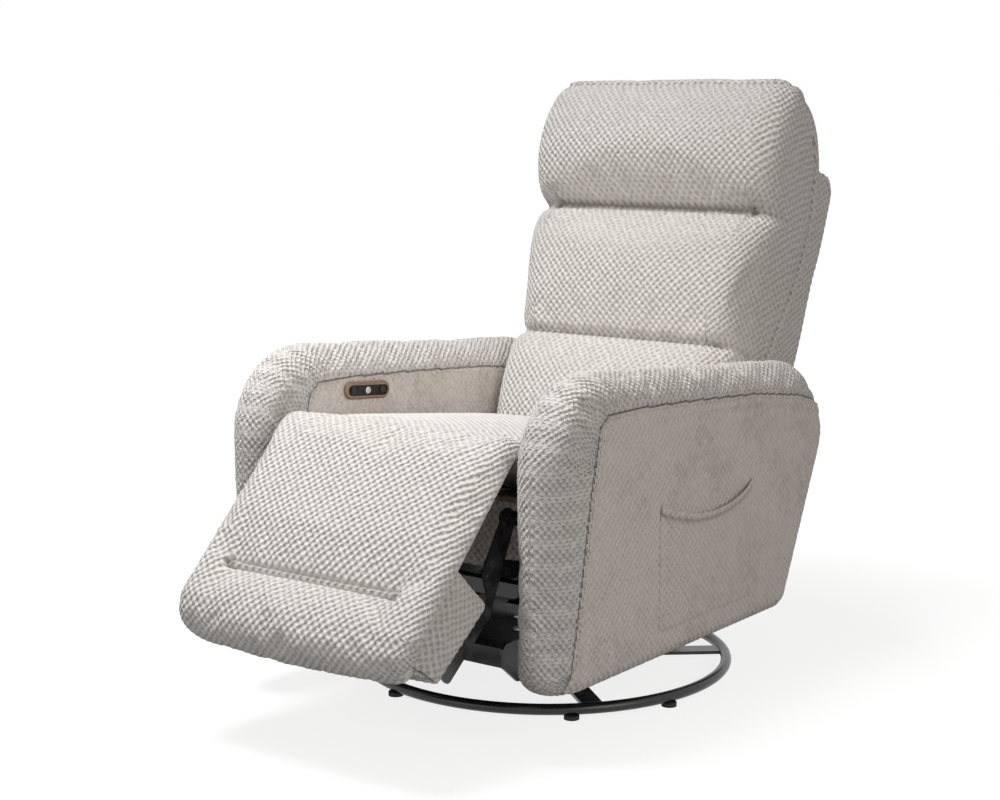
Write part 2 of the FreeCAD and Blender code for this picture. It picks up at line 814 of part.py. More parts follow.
def slab_behind(along0, along1, behind0, behind1, x0, x1):
    """Slab that lies along the ottoman box's back face."""
    corners = [(*box_back(along0, behind0), 0), (*box_back(along1, behind0), 0),
               (*box_back(along1, behind1), 0), (*box_back(along0, behind1), 0)]
    return plate(corners, x0, x1)


board_start, board_end = box_start + ottoman_board_inset, box_heel - ottoman_board_heel
board_half = seat_half - ottoman_board_inset
save("ottoman_board", slab_behind(board_start, board_end, 0, -ottoman_board, -board_half, board_half))
space_half = board_half + slide_gap
board_space = slab_behind(board_start - slide_gap, board_end + slide_gap, cut_past + box_round,
                          -ottoman_board - slide_gap, -space_half, space_half)
save("ottoman_box", ottoman_box.cut(board_space))

ottoman_upper = polar(knee, upper_bar_radius, crank_angle)
ottoman_lower = polar(knee, lower_bar_radius, crank_angle)
bracket_end = board_end - bracket_inset
bracket_corners = [(*leg(*bracket_top), bracket_round), (*leg(*bracket_chin), bracket_round),
                   (*leg(*bracket_elbow), bracket_elbow_round),
                   (*box_back(box_start + bracket_inset, bracket_depth), bracket_round),
                   (*box_back(bracket_end, bracket_depth), bracket_round),
                   (*box_back(bracket_end, slide_gap), board_round),
                   (*box_back(box_start - bracket_inset / 2, slide_gap), board_round),
                   (*leg(*bracket_waist), bracket_round)]
ottoman_arm = plate(bracket_corners, crank_in, crank_out)
foot_end = bracket_end - bracket_inset
foot = slab_behind(board_start + link_steel, foot_end, slide_gap, slide_gap + link_steel,
                   crank_in - bracket_foot, crank_in)
studs = [stud(point, crank_in, bar_in) for point in (ottoman_upper, ottoman_lower)]
save_pair("ottoman_bracket", ottoman_arm.fuse([foot, *studs]).removeSplitter())

# Cranks and bars that carry the ottoman, on both sides


def crank(pivot):
    """Crank with its pivot hole and the two studs that the bars turn on."""
    blade = pierced(link(pivot, polar(pivot, lower_bar_radius, crank_angle), crank_in, crank_out), [pivot],
                    crank_in, crank_out)
    studs = [stud(polar(pivot, radius, crank_angle), crank_in, bar_in)
             for radius in (upper_bar_radius, lower_bar_radius)]
    return blade.fuse(studs)


save("front_cranks", *both(crank(front_pivot).removeSplitter()))
drive_point = polar(rear_pivot, drive_radius, crank_angle)
save("rear_cranks", *both(crank(rear_pivot).fuse(stud(drive_point, crank_in, drive_in)).removeSplitter()))

for name, radius in (("upper_bars", upper_bar_radius), ("lower_bars", lower_bar_radius)):
    ends = [polar(pivot, radius, crank_angle) for pivot in (knee, front_pivot, rear_pivot)]
    save(name, *both(pierced(link(ends[0], ends[2], bar_in, bar_out), ends, bar_in, bar_out)))

torque_point = polar(torque_pivot, drive_radius, crank_angle)
drive_link = link(torque_point, drive_point, drive_in, drive_out)
save("drive_links", *both(pierced(drive_link, [torque_point, drive_point], drive_in, drive_out)))

# Torque tube with its cranks and the forked lever that the actuator pushes

lever_end = lever_reach + lever_slot_travel + lever_slot / 2 + lever_tip
slot_top = (torque_pivot[0], torque_pivot[1] - lever_reach + lever_slot_start)
slot_bottom = (torque_pivot[0], torque_pivot[1] - lever_reach - lever_slot_travel)
lever = link(torque_pivot, (torque_pivot[0], torque_pivot[1] - lever_end + lever_width / 2), lever_half_gap,
             lever_half_gap + link_steel, lever_width)
lever = lever.cut(link(slot_top, slot_bottom, lever_half_gap - cut_past,
                       lever_half_gap + link_steel + cut_past, lever_slot))
torque_crank = link(torque_pivot, torque_point, bar_in, bar_out).fuse(stud(torque_point, bar_in, drive_in))
torque_tube = rod(torque_pivot, torque_tube_diameter / 2, -plate_out, plate_out)
torque_tube = torque_tube.fuse(both(lever) + both(torque_crank)).removeSplitter()
torque_bore = rod(torque_pivot, torque_tube_diameter / 2 - torque_tube_wall, -plate_out, plate_out)
save("torque_tube", torque_tube.cut(torque_bore))

# Actuator: motor and rail on the rear tube, and the carriage that slides on the rail

rail_z = torque_pivot[1] - lever_reach
mount_rear = tube_rear - cross_tube / 2
rail_rear = mount_rear - mount_thickness
half_rail = actuator_rail / 2
rail_bottom = rail_z - half_rail
save("actuator_rail", box(-half_rail, half_rail, rail_rear - actuator_length, rail_rear,
                          rail_bottom, rail_z + half_rail))
save("actuator_mount", box(-mount_half, mount_half, rail_rear, mount_rear, rail_bottom - mount_lap,
                           rail_z + half_rail + mount_rise))
motor_rear = rail_rear - motor_gap
motor_front = motor_rear - motor_length
motor_middle = (motor_front + motor_rear) / 2
motor_z = rail_bottom - gearbox_height - motor_diameter / 2 + motor_lap
gearbox = box(-gearbox_half_width, gearbox_half_width, motor_middle - gearbox_half_length,
              motor_middle + gearbox_half_length, rail_bottom - gearbox_height, rail_bottom - slide_gap)


def along_motor(diameter, y0, y1):
    """Cylinder on the motor's axis."""
    return Part.makeCylinder(diameter / 2, y1 - y0, V(0, y0, motor_z), V(0, 1, 0))


inlet_end = motor_rear + inlet_length
inlet = along_motor(inlet_diameter, motor_rear, inlet_end)
inlet = inlet.cut(along_motor(inlet_bore, motor_rear + inlet_floor, inlet_end))
motor = along_motor(motor_diameter, motor_front, motor_rear)
save("actuator_motor", motor.fuse([gearbox, inlet]).removeSplitter())
carriage_half = half_rail + carriage_wall
carriage = box(-carriage_half, carriage_half, torque_pivot[0] - carriage_length / 2,
               torque_pivot[0] + carriage_length / 2, rail_z - carriage_half, rail_z + carriage_half)
pin_end = lever_half_gap + link_steel + carriage_pin_past
carriage = carriage.fuse(rod((torque_pivot[0], rail_z), pin_radius, -pin_end, pin_end))
rail_space = half_rail + slide_gap
save("actuator_carriage", carriage.cut(box(-rail_space, rail_space, rail_rear - actuator_length, rail_rear,
                                           rail_z - rail_space, rail_z + rail_space)))

# Arms: padded bodies with their plywood frames inside


def arm_top(y):
    """Height of the arm's top line before its ends are rounded."""
    return arm_top_front - arm_top_slope * (y - arm_front)


tail_y = (arm_rear_foot + arm_rear_slope * (arm_top(0) - arm_bottom)) / (1 + arm_rear_slope * arm_top_slope)
arm_corners = [(arm_front, arm_bottom, arm_toe_round), (arm_rear_foot, arm_bottom, arm_heel_round),
               (tail_y, arm_top(tail_y), arm_tail_round),
               (arm_front, arm_top(arm_front) + arm_brow_rise, arm_brow_round)]
arm_body = plate(arm_corners, arm_inner, arm_outer)
arm_body = arm_body.makeFillet(arm_edge_round, end_edges(arm_body))
frame_in = arm_inner + arm_thickness / 2 - frame_thickness / 2


def arm_frame(grow, floor):
    """Plywood arm frame down to a floor, or the space for it, grown on its other sides."""
    inset = frame_inset - grow
    corners = [(arm_front + inset, floor, 0), (arm_rear_foot - frame_heel_inset + grow, floor, 0),
               (tail_y - frame_tail_inset + grow, arm_top(tail_y) - inset, frame_tail_round),
               (arm_front + inset, arm_top(arm_front) - inset, frame_brow_round)]
    return plate(corners, frame_in - grow, frame_in + frame_thickness + grow)


window_front, window_rear = arm_front + frame_window_front, arm_rear_foot - frame_window_rear
window_bottom, window_top = arm_bottom + frame_window_bottom, arm_top(0) - frame_window_top
window_corners = [(window_front, window_bottom), (window_rear, window_bottom),
                  (window_rear + frame_window_lean, window_top), (window_front, window_top)]
frame_window = plate([(y, z, frame_window_round) for y, z in window_corners], arm_inner, arm_outer)
save("arm_frames", *both(arm_frame(0, arm_bottom + frame_floor).cut(frame_window)))
arm_body = arm_body.cut(arm_frame(slide_gap, arm_bottom - frame_floor))
save("arm_left", arm_body)

# Controls in the right arm


def capsule(length, height, x0, x1):
    """Round-ended slab of the control panel, tilted with the panel."""
    reach = (length - height) / 2
    shape = link((-reach, 0), (reach, 0), x0, x1, height)
    shape.rotate(V(0, 0, 0), V(1, 0, 0), control_tilt)
    shape.translate(V(0, control_y, control_z))
    return shape


face_length, face_height = control_length - 2 * control_frame, control_height - 2 * control_frame
bezel = capsule(control_length, control_height, -arm_inner, -arm_inner + control_proud)
bezel_edges = [edge for edge in end_edges(bezel) if edge.BoundBox.XMax > -arm_inner + control_proud / 2]
bezel = bezel.makeChamfer(bezel_chamfer, bezel_edges)
face_space = capsule(face_length + 2 * pin_gap, face_height + 2 * pin_gap, -arm_outer, arm_outer)
save("control_bezel", bezel.cut(face_space))
button_points = [polar((control_y, control_z), (i - 1) * button_pitch, control_tilt) for i in range(3)]
face = capsule(face_length, face_height, -arm_inner, -arm_inner + control_face)
save("control_face", pierced(face, button_points, -arm_inner, 0, button_diameter / 2 + slide_gap))
case = capsule(face_length, face_height, -arm_inner - control_depth, -arm_inner)
case_space = capsule(face_length - 2 * case_wall, face_height - 2 * case_wall,
                     -arm_inner - control_depth + case_wall, -arm_inner)
save("control_box", case.cut(case_space))
case_room = capsule(face_length + 2 * slide_gap, face_height + 2 * slide_gap,
                    -arm_inner - control_depth - slide_gap, -arm_inner + cut_past)
save("arm_right", mirrored(arm_body).cut(case_room))
flange_radius = button_diameter / 2 + button_flange
button_root = -arm_inner - button_travel - slide_gap - button_root_gap
for name, point in zip(("front", "middle", "rear"), button_points):
    cap = rod(point, button_diameter / 2, button_root, -arm_inner + control_face + button_proud)
    rim = [edge for edge in end_edges(cap) if edge.BoundBox.XMax > -arm_inner]
    cap = cap.makeChamfer(button_chamfer, rim)
    flange = rod(point, flange_radius, button_root, -arm_inner - slide_gap)
    save(f"button_{name}", cap.fuse(flange).removeSplitter())

# Pocket: a cloth panel with a sagging mouth, on three seam strips that hold it off the left arm

pocket_middle = (pocket_front + pocket_rear) / 2
half_span = (pocket_rear - pocket_front) / 2
sag_radius = (half_span ** 2 + pocket_sag ** 2) / (2 * pocket_sag)
panel_in = arm_outer + pocket_space
pocket_out = panel_in + pocket_cloth
panel = box(panel_in, pocket_out, pocket_front, pocket_rear, pocket_bottom, pocket_mouth)
mouth = rod((pocket_middle, pocket_mouth - pocket_sag + sag_radius), sag_radius, panel_in, pocket_out)
strip_top = pocket_bottom + pocket_hem
pocket_strips = [box(arm_outer, panel_in, pocket_front, pocket_rear, pocket_bottom, strip_top),
                 box(arm_outer, panel_in, pocket_front, pocket_front + pocket_hem, strip_top, pocket_mouth),
                 box(arm_outer, panel_in, pocket_rear - pocket_hem, pocket_rear, strip_top, pocket_mouth)]
save("side_pocket", panel.cut(mouth), *pocket_strips)

# Back: posts, rails, webbing, brackets, outer shell and the three-chamber cushion

post_front = cushion_rear + strap_thickness + slide_gap
post_out, post_in = crank_in, crank_in - board


def back_slab(behind0, behind1, up0, up1, half_in, half_out, radius=0):
    """Slab square to the back, between two depths and two heights along it."""
    corners = [(behind0, up0, radius), (behind1, up0, radius), (behind1, up1, radius), (behind0, up1, radius)]
    return plate(mapped(corners, rest), half_in, half_out)


post_rear = post_front + post_depth
post = back_slab(post_front, post_rear, post_bottom, post_top, post_in, post_out, post_round)
save("back_posts", *both(post))
rails = []
for low in (post_bottom + lower_rail_rise, middle_rail_up, post_top - back_rail_height):
    rails.append(back_slab(post_front, post_front + board, low, low + back_rail_height, -post_in, post_in))
save("back_rails", *rails)
back_pitch = (post_top - post_bottom - 2 * back_strap_margin) / cross_straps
back_straps = []
for i in range(cross_straps):
    low = post_bottom + back_strap_margin + (i + 0.5) * back_pitch - strap_width / 2
    back_straps.append(back_slab(post_front - strap_thickness, post_front, low, low + strap_width,
                                 -post_out, post_out))
save("back_webbing", *back_straps)

hinge_corners = mapped([(-back_bracket_half, -back_bracket_half, back_bracket_nose),
                        (post_rear, -back_bracket_half, back_bracket_round),
                        (post_rear, back_bracket_top, back_bracket_round),
                        (post_front + back_bracket_inset, back_bracket_top, back_bracket_round),
                        (post_front + back_bracket_inset, back_bracket_half, back_bracket_round),
                        (-back_bracket_half, back_bracket_half, back_bracket_nose)], rest)
hinge = plate(hinge_corners, crank_in, crank_out)
save_pair("back_bracket", pierced(hinge, [back_pivot], crank_in, crank_out))

shell_in = crank_out + slide_gap
shell_out = shell_in + shell_wall
shell_front = cushion_rear + slide_gap
shell_corners = mapped([(shell_front, shell_bottom, 0), (shell_rear, shell_bottom, shell_foot_round),
                        (shell_rear - shell_lean, shell_top, shell_round), (shell_front, shell_top, 0)], rest)
hollow_front, hollow_rear = shell_front - cut_past, shell_rear - shell_wall
hollow_top = shell_top - shell_wall
hollow_corners = mapped([(hollow_front, post_bottom, 0), (hollow_rear, post_bottom, 0),
                         (hollow_rear - shell_lean, hollow_top, shell_round - shell_wall),
                         (hollow_front, hollow_top, 0)], rest)
shell = plate(shell_corners, -shell_out, shell_out)
shell = shell.makeFillet(shell_edge_round, end_edges(shell))
save("back_shell", shell.cut(plate(hollow_corners, -shell_in, shell_in)))

chambers = ((back_bottom, lower_channel, lower_chamber), (lower_channel, upper_channel, middle_chamber),
            (upper_channel, back_top, head_chamber))
sections = []
for start, end, (seam_low, seam_high, rim_swell, crown_swell, side_swell) in chambers:
    for fraction in chamber_stations:
        up = start + fraction * (end - start)
        seam = seam_low + fraction * (seam_high - seam_low)
        full = swell(fraction)
        over = max(0, up - shell_top) / (back_top - shell_top)
        rear = cushion_rear * math.sqrt(1 - head_fall * over ** 2)
        sections.append(pad_section(lambda x, out, up=up: V(x, *rest(out, up)), back_half + side_swell * full,
                                    rear, seam - rim_swell * full, seam - crown_swell * full - seam_crown,
                                    back_tuck))
sections.append(pad_section(lambda x, out: V(x, *rest(out, back_top)), back_half - top_inset,
                            top_rear, top_front, top_front - top_crown, back_tuck))
save("back_cushion", loft(sections))
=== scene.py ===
import json
import math

import bmesh
import bpy
import numpy as np
from mathutils import Matrix, Vector
from mathutils.bvhtree import BVHTree


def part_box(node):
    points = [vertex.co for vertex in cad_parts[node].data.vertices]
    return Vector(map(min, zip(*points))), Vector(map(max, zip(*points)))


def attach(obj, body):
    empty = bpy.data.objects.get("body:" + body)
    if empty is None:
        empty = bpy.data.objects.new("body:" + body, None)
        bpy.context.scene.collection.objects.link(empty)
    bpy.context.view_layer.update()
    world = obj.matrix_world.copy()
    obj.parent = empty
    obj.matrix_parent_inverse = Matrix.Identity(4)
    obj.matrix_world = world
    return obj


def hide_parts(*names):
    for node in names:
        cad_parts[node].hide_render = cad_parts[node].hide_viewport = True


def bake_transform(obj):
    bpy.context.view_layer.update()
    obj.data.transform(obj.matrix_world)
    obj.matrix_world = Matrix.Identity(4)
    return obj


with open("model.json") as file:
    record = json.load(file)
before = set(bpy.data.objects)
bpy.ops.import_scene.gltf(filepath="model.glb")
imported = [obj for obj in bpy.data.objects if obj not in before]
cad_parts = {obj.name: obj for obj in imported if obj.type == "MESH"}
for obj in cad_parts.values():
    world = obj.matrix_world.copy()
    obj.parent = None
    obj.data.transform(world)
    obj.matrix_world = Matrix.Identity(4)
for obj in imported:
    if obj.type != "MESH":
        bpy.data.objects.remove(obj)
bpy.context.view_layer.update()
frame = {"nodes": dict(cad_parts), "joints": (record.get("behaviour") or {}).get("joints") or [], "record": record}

# Sizes in metres, in the chair's frame: +Z up, the sitter faces -Y, +X is the sitter's left

VOXEL = 0.006
FACE_POINTS, BASE_POINTS = 41, 21
CLOTH_FRAMES = 20
CLOTH_PRESSURE = 1.6
CLOTH_SLACK = 0.012
CLOTH_CAP = 0.012
WEAVE_ACROSS = 0.0144
WEAVE_ALONG = 0.0146
PUFF_DEPTH = 0.0024
PIT_SHARE, FIRST_SHARE, SECOND_SHARE = 0.35, 0.38, 0.27

joints = {joint["name"]: joint for joint in frame["joints"]}
KNEE = np.array(joints["footrest"]["pos_m"])[1:]
BACK = np.array(joints["recline"]["pos_m"])[1:]
LEG_SLOPE = math.radians(46)
BACK_TILT = math.radians(22)
LEG_ALONG = np.array([-math.cos(LEG_SLOPE), -math.sin(LEG_SLOPE)])
LEG_OUT = np.array([-math.sin(LEG_SLOPE), math.cos(LEG_SLOPE)])
BACK_BEHIND = np.array([math.cos(BACK_TILT), -math.sin(BACK_TILT)])
BACK_UP = np.array([math.sin(BACK_TILT), math.cos(BACK_TILT)])

arm_low, arm_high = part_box("arm_left")
ARM_INNER, ARM_OUTER = arm_low.x, arm_high.x
ARM_MIDDLE, ARM_HALF = (ARM_INNER + ARM_OUTER) / 2, (ARM_OUTER - ARM_INNER) / 2
seat_low, seat_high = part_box("seat_cushion")


def smooth(value, low, high):
    """Smooth step from 0 at low to 1 at high."""
    t = np.clip((value - low) / (high - low), 0, 1)
    return t * t * (3 - 2 * t)


def cusp(distance, width):
    """A sewn crease: 1 on the seam, falling away to 0 with a sharp bottom."""
    return np.exp(-np.abs(distance) / width)


# Materials


class Shader:
    """A new material with short calls for its nodes."""

    def __init__(self, name):
        self.material = bpy.data.materials.new(name)
        self.material.use_nodes = True
        self.tree = self.material.node_tree
        self.bsdf = self.tree.nodes["Principled BSDF"]

    def node(self, kind, inputs=(), **settings):
        made = self.tree.nodes.new(kind)
        for key, value in settings.items():
            setattr(made, key, value)
        for key, value in dict(inputs).items():
            self.put(made.inputs[key], value)
        return made

    def put(self, socket, value):
        if isinstance(value, bpy.types.NodeSocket):
            self.tree.links.new(value, socket)
        else:
            socket.default_value = value

    def math(self, operation, first, second=0.0, third=0.0):
        made = self.node("ShaderNodeMath", {0: first, 1: second, 2: third}, operation=operation)
        return made.outputs[0]

    def point(self):
        return self.node("ShaderNodeTexCoord").outputs["Object"]

    def noise(self, place, scale, detail=2.0, rough=0.5):
        inputs = {"Vector": place, "Scale": scale, "Detail": detail, "Roughness": rough}
        return self.node("ShaderNodeTexNoise", inputs).outputs["Fac"]

    def stretched(self, place, scale):
        return self.node("ShaderNodeMapping", {"Vector": place, "Scale": scale}).outputs[0]

    def mix(self, share, first, second):
        made = self.node("ShaderNodeMix", {0: share, 6: first, 7: second}, data_type="RGBA")
        return made.outputs[2]

    def ramp(self, value, low, high):
        inputs = {"Value": value, "From Min": low, "From Max": high}
        return self.node("ShaderNodeMapRange", inputs).outputs["Result"]

    def bump(self, height, distance, strength=1.0):
        inputs = {"Height": height, "Distance": distance, "Strength": strength}
        return self.node("ShaderNodeBump", inputs).outputs["Normal"]

    def finish(self, **sockets):
        for name, value in sockets.items():
            self.put(self.bsdf.inputs[name.replace("_", " ")], value)
        return self.material


def rgb(red, green, blue):
    return (red, green, blue, 1.0)


def scaled(colour, factor):
    return rgb(*[factor * part for part in colour])


def chenille(name, light, dark, relief, contrast, mottle):
    """Woven chenille: rows of soft puffs with pits between them, on the weave attribute in metres; the colour is
    darker in the pits and grooves, partly as the weave's pattern and partly as painted shade, and holds painted
    shade along the sewn seams.
    """
    s = Shader(name)
    place = s.node("ShaderNodeAttribute", attribute_name="weave").outputs["Vector"]
    painted_seam_shade = s.node("ShaderNodeAttribute", attribute_name="painted_seam_shade").outputs["Fac"]
    point = s.point()
    wander = s.node("ShaderNodeTexNoise", {"Vector": place, "Scale": 55.0, "Detail": 2.0}).outputs["Color"]
    offset = s.node("ShaderNodeVectorMath", {0: wander, 1: (0.5, 0.5, 0.5)}, operation="SUBTRACT").outputs[0]
    moved = s.node("ShaderNodeVectorMath", {0: offset, 1: (0.008, 0.007, 0.0), 2: place},
                   operation="MULTIPLY_ADD").outputs[0]
    parts = s.node("ShaderNodeSeparateXYZ", {0: moved})
    across = s.math("DIVIDE", parts.outputs[0], WEAVE_ACROSS)
    along = s.math("DIVIDE", parts.outputs[1], WEAVE_ALONG)
    waves = []
    for sign in ("ADD", "SUBTRACT"):
        phase = s.math("MULTIPLY", s.math(sign, across, along), math.pi)
        waves.append(s.math("POWER", s.math("ABSOLUTE", s.math("COSINE", phase)), 2.0))
    pit = s.math("MULTIPLY", waves[0], waves[1])
    groove = s.math("MULTIPLY_ADD", waves[0], 0.46, s.math("MULTIPLY", waves[1], 0.32))
    fuzz = s.noise(point, 1100.0, 3.0, 0.7)
    tuft = s.noise(point, 300.0, 2.0, 0.6)
    hair = s.math("MULTIPLY_ADD", fuzz, 0.16, s.math("MULTIPLY", tuft, 0.40))
    height = s.math("SUBTRACT", hair, s.math("MULTIPLY_ADD", pit, 0.35, groove))
    patch = s.math("MULTIPLY", s.noise(point, 70.0, 4.0, 0.7), 0.45)
    nap = s.math("SUBTRACT", s.math("MULTIPLY_ADD", s.noise(point, 11.0, 4.0, 0.65), 0.55, patch), 0.5)
    # the pits and grooves darken the colour: partly the weave's own pattern, partly painted shade between the
    # puffs
    shade = s.math("MULTIPLY_ADD", pit, 0.60, s.math("MULTIPLY", groove, 0.30))
    tone = s.math("SUBTRACT", s.math("MULTIPLY_ADD", hair, 0.5, 0.90), s.math("MULTIPLY", shade, contrast))
    tone = s.math("MULTIPLY_ADD", nap, mottle, tone)
    tone = s.math("MAXIMUM", s.math("MINIMUM", tone, 1.0), 0.0)
    # painted shade: the colour is pulled towards a quarter of the dark tone along the sewn seams
    colour = s.mix(painted_seam_shade, s.mix(tone, rgb(*dark), rgb(*light)), scaled(dark, 0.25))
    return s.finish(Base_Color=colour, Roughness=0.93, Specular_IOR_Level=0.12, Sheen_Weight=0.18,
                    Sheen_Roughness=0.5, Normal=s.bump(height, relief))


def painted_steel(name, colour, rough):
    """Powder-coated steel with a faint orange peel, dust and rubbed edges."""
    s = Shader(name)
    point = s.point()
    peel = s.noise(point, 700.0)
    dust = s.noise(point, 22.0, 4.0, 0.65)
    edge = s.ramp(s.node("ShaderNodeNewGeometry").outputs["Pointiness"], 0.53, 0.6)
    worn = s.math("MULTIPLY", edge, s.ramp(dust, 0.45, 0.75))
    tone = s.mix(s.math("MULTIPLY", dust, 0.35), rgb(*colour), scaled(colour, 2.5))
    tone = s.mix(s.math("MULTIPLY", worn, 0.35), tone, rgb(0.22, 0.22, 0.23))
    return s.finish(Base_Color=tone, Roughness=s.math("MULTIPLY_ADD", dust, 0.22, rough),
                    Normal=s.bump(peel, 0.0002, 0.25))


def bare_steel(name, colour, rough):
    """Zinc-plated steel with fine brushed streaks."""
    s = Shader(name)
    point = s.point()
    streak = s.noise(s.stretched(point, (40.0, 900.0, 900.0)), 1.0, 3.0)
    cloud = s.noise(point, 30.0, 3.0)
    tone = s.mix(cloud, scaled(colour, 0.8), rgb(*colour))
    return s.finish(Base_Color=tone, Metallic=1.0, Roughness=s.math("MULTIPLY_ADD", streak, 0.2, rough),
                    Normal=s.bump(streak, 0.0001, 0.3))


def plywood(name):
    """Birch plywood: long grain with darker veneers and pores."""
    s = Shader(name)
    point = s.point()
    grain = s.noise(s.stretched(point, (140.0, 12.0, 140.0)), 1.0, 5.0, 0.65)
    veneer = s.node("ShaderNodeTexWave", {"Vector": point, "Scale": 110.0, "Distortion": 1.5}).outputs["Fac"]
    tone = s.mix(grain, rgb(0.45, 0.30, 0.17), rgb(0.72, 0.55, 0.36))
    tone = s.mix(s.math("MULTIPLY", veneer, 0.25), tone, rgb(0.36, 0.22, 0.12))
    return s.finish(Base_Color=tone, Roughness=s.math("MULTIPLY_ADD", grain, 0.2, 0.55),
                    Normal=s.bump(grain, 0.0004, 0.5))


def moulded(name, colour, rough, relief):
    """Moulded plastic or rubber with a fine spark texture and slight changes of tone."""
    s = Shader(name)
    point = s.point()
    spark = s.noise(point, 1800.0, 2.0, 0.6)
    cloud = s.noise(point, 45.0, 3.0)
    tone = s.mix(cloud, scaled(colour, 0.75), scaled(colour, 1.15))
    return s.finish(Base_Color=tone, Roughness=s.math("MULTIPLY_ADD", cloud, 0.12, rough),
                    Normal=s.bump(spark, relief, 0.4))


def antique_bronze(name):
    """Bronze-finished bezel: metallic brown with rubbed bright edges."""
    s = Shader(name)
    cloud = s.noise(s.point(), 160.0, 4.0, 0.6)
    edge = s.ramp(s.node("ShaderNodeNewGeometry").outputs["Pointiness"], 0.5, 0.62)
    tone = s.mix(cloud, rgb(0.10, 0.062, 0.04), rgb(0.24, 0.16, 0.105))
    tone = s.mix(edge, tone, rgb(0.42, 0.31, 0.22))
    return s.finish(Base_Color=tone, Metallic=0.85, Roughness=s.math("MULTIPLY_ADD", cloud, 0.25, 0.25),
                    Normal=s.bump(cloud, 0.0001, 0.4))


def elastic(name):
    """Woven elastic webbing: a tight basket of dark yarns."""
    s = Shader(name)
    parts = s.node("ShaderNodeSeparateXYZ", {0: s.point()})
    rows = [s.math("SINE", s.math("MULTIPLY", parts.outputs[axis], 2 * math.pi / 0.003)) for axis in (0, 1)]
    height = s.math("MULTIPLY_ADD", s.math("MULTIPLY", rows[0], rows[1]), 0.5, 0.5)
    tone = s.mix(height, rgb(0.05, 0.046, 0.042), rgb(0.17, 0.155, 0.14))
    return s.finish(Base_Color=tone, Roughness=0.9, Normal=s.bump(height, 0.0006, 0.7))


materials = {
    "waffle_fabric": chenille("waffle_fabric", (0.88, 0.852, 0.82), (0.46, 0.415, 0.375), 0.0036, 0.66, 0.45),
    "arm_fabric": chenille("arm_fabric", (0.88, 0.82, 0.77), (0.54, 0.475, 0.425), 0.0026, 0.34, 3.0),
    "webbing": elastic("webbing"),
    "black_steel": painted_steel("black_steel", (0.012, 0.012, 0.013), 0.16),
    "bright_steel": bare_steel("bright_steel", (0.62, 0.62, 0.63), 0.22),
    "plywood": plywood("plywood"),
    "black_plastic": moulded("black_plastic", (0.022, 0.022, 0.024), 0.45, 0.0002),
    "glide_rubber": moulded("glide_rubber", (0.018, 0.018, 0.018), 0.7, 0.0003),
    "control_bronze": antique_bronze("control_bronze"),
    "control_gloss": moulded("control_gloss", (0.008, 0.008, 0.009), 0.08, 0.00002),
    "button_black": moulded("button_black", (0.018, 0.018, 0.02), 0.28, 0.00005),
    "button_silver": bare_steel("button_silver", (0.86, 0.86, 0.87), 0.12),
}
slots = {part["node"]: part["material_slot"] for part in frame["record"]["subparts"]}


def paint(obj, slot):
    obj.data.materials.clear()
    obj.data.materials.append(materials[slot])


for node, obj in frame["nodes"].items():
    obj.data.materials.clear()
    obj.data.materials.append(materials[slots[node]])


# Mesh helpers


def new_object(name, points, faces):
    mesh = bpy.data.meshes.new(name)
    mesh.from_pydata([tuple(p) for p in points], [], [tuple(f) for f in faces])
    mesh.update()
    obj = bpy.data.objects.new(name, mesh)
    bpy.context.scene.collection.objects.link(obj)
    return obj


def grid_faces(rows, columns, closed):
    """Quads between rows of points; closed joins each row's end to its start."""
    faces = []
    for row in range(rows - 1):
        for i in range(columns if closed else columns - 1):
            j = (i + 1) % columns
            low, high = row * columns, (row + 1) * columns
            faces.append((low + i, low + j, high + j, high + i))
    return faces


def loft(name, *skins):
    """Closed skins, each through rings of equal length with its two ends filled, in one object."""
    points, faces = [], []
    for rings in skins:
        first, rows, columns = len(points), len(rings), len(rings[0])
        own = grid_faces(rows, columns, True)
        own.append(tuple(range(columns))[::-1])
        own.append(tuple(range((rows - 1) * columns, rows * columns)))
        faces += [tuple(first + i for i in face) for face in own]
        points += [tuple(point) for ring in rings for point in ring]
    return new_object(name, points, faces)


def coordinates(mesh):
    flat = np.empty(len(mesh.vertices) * 3, np.float32)
    mesh.vertices.foreach_get("co", flat)
    return flat.reshape(-1, 3).astype(float)


def put_coordinates(mesh, points):
    mesh.vertices.foreach_set("co", np.asarray(points, np.float32).ravel())
    mesh.update()


def normals(mesh):
    flat = np.empty(len(mesh.vertices) * 3, np.float32)
    mesh.vertex_normals.foreach_get("vector", flat)
    return flat.reshape(-1, 3).astype(float)


def bake(obj):
    """Apply an object's modifiers to its mesh."""
    shown = obj.evaluated_get(bpy.context.evaluated_depsgraph_get())
    mesh = bpy.data.meshes.new_from_object(shown)
    obj.modifiers.clear()
    old = obj.data
    obj.data = mesh
    bpy.data.meshes.remove(old)


def remesh(obj):
    modifier = obj.modifiers.new("remesh", "REMESH")
    modifier.mode = "VOXEL"
    modifier.voxel_size = VOXEL
    bake(obj)


def relax(obj):
    modifier = obj.modifiers.new("relax", "SMOOTH")
    modifier.factor = 0.5
    modifier.iterations = 3
    bake(obj)


def subdivide(obj):
    modifier = obj.modifiers.new("finer", "SUBSURF")
    modifier.levels = modifier.render_levels = 1
    bake(obj)


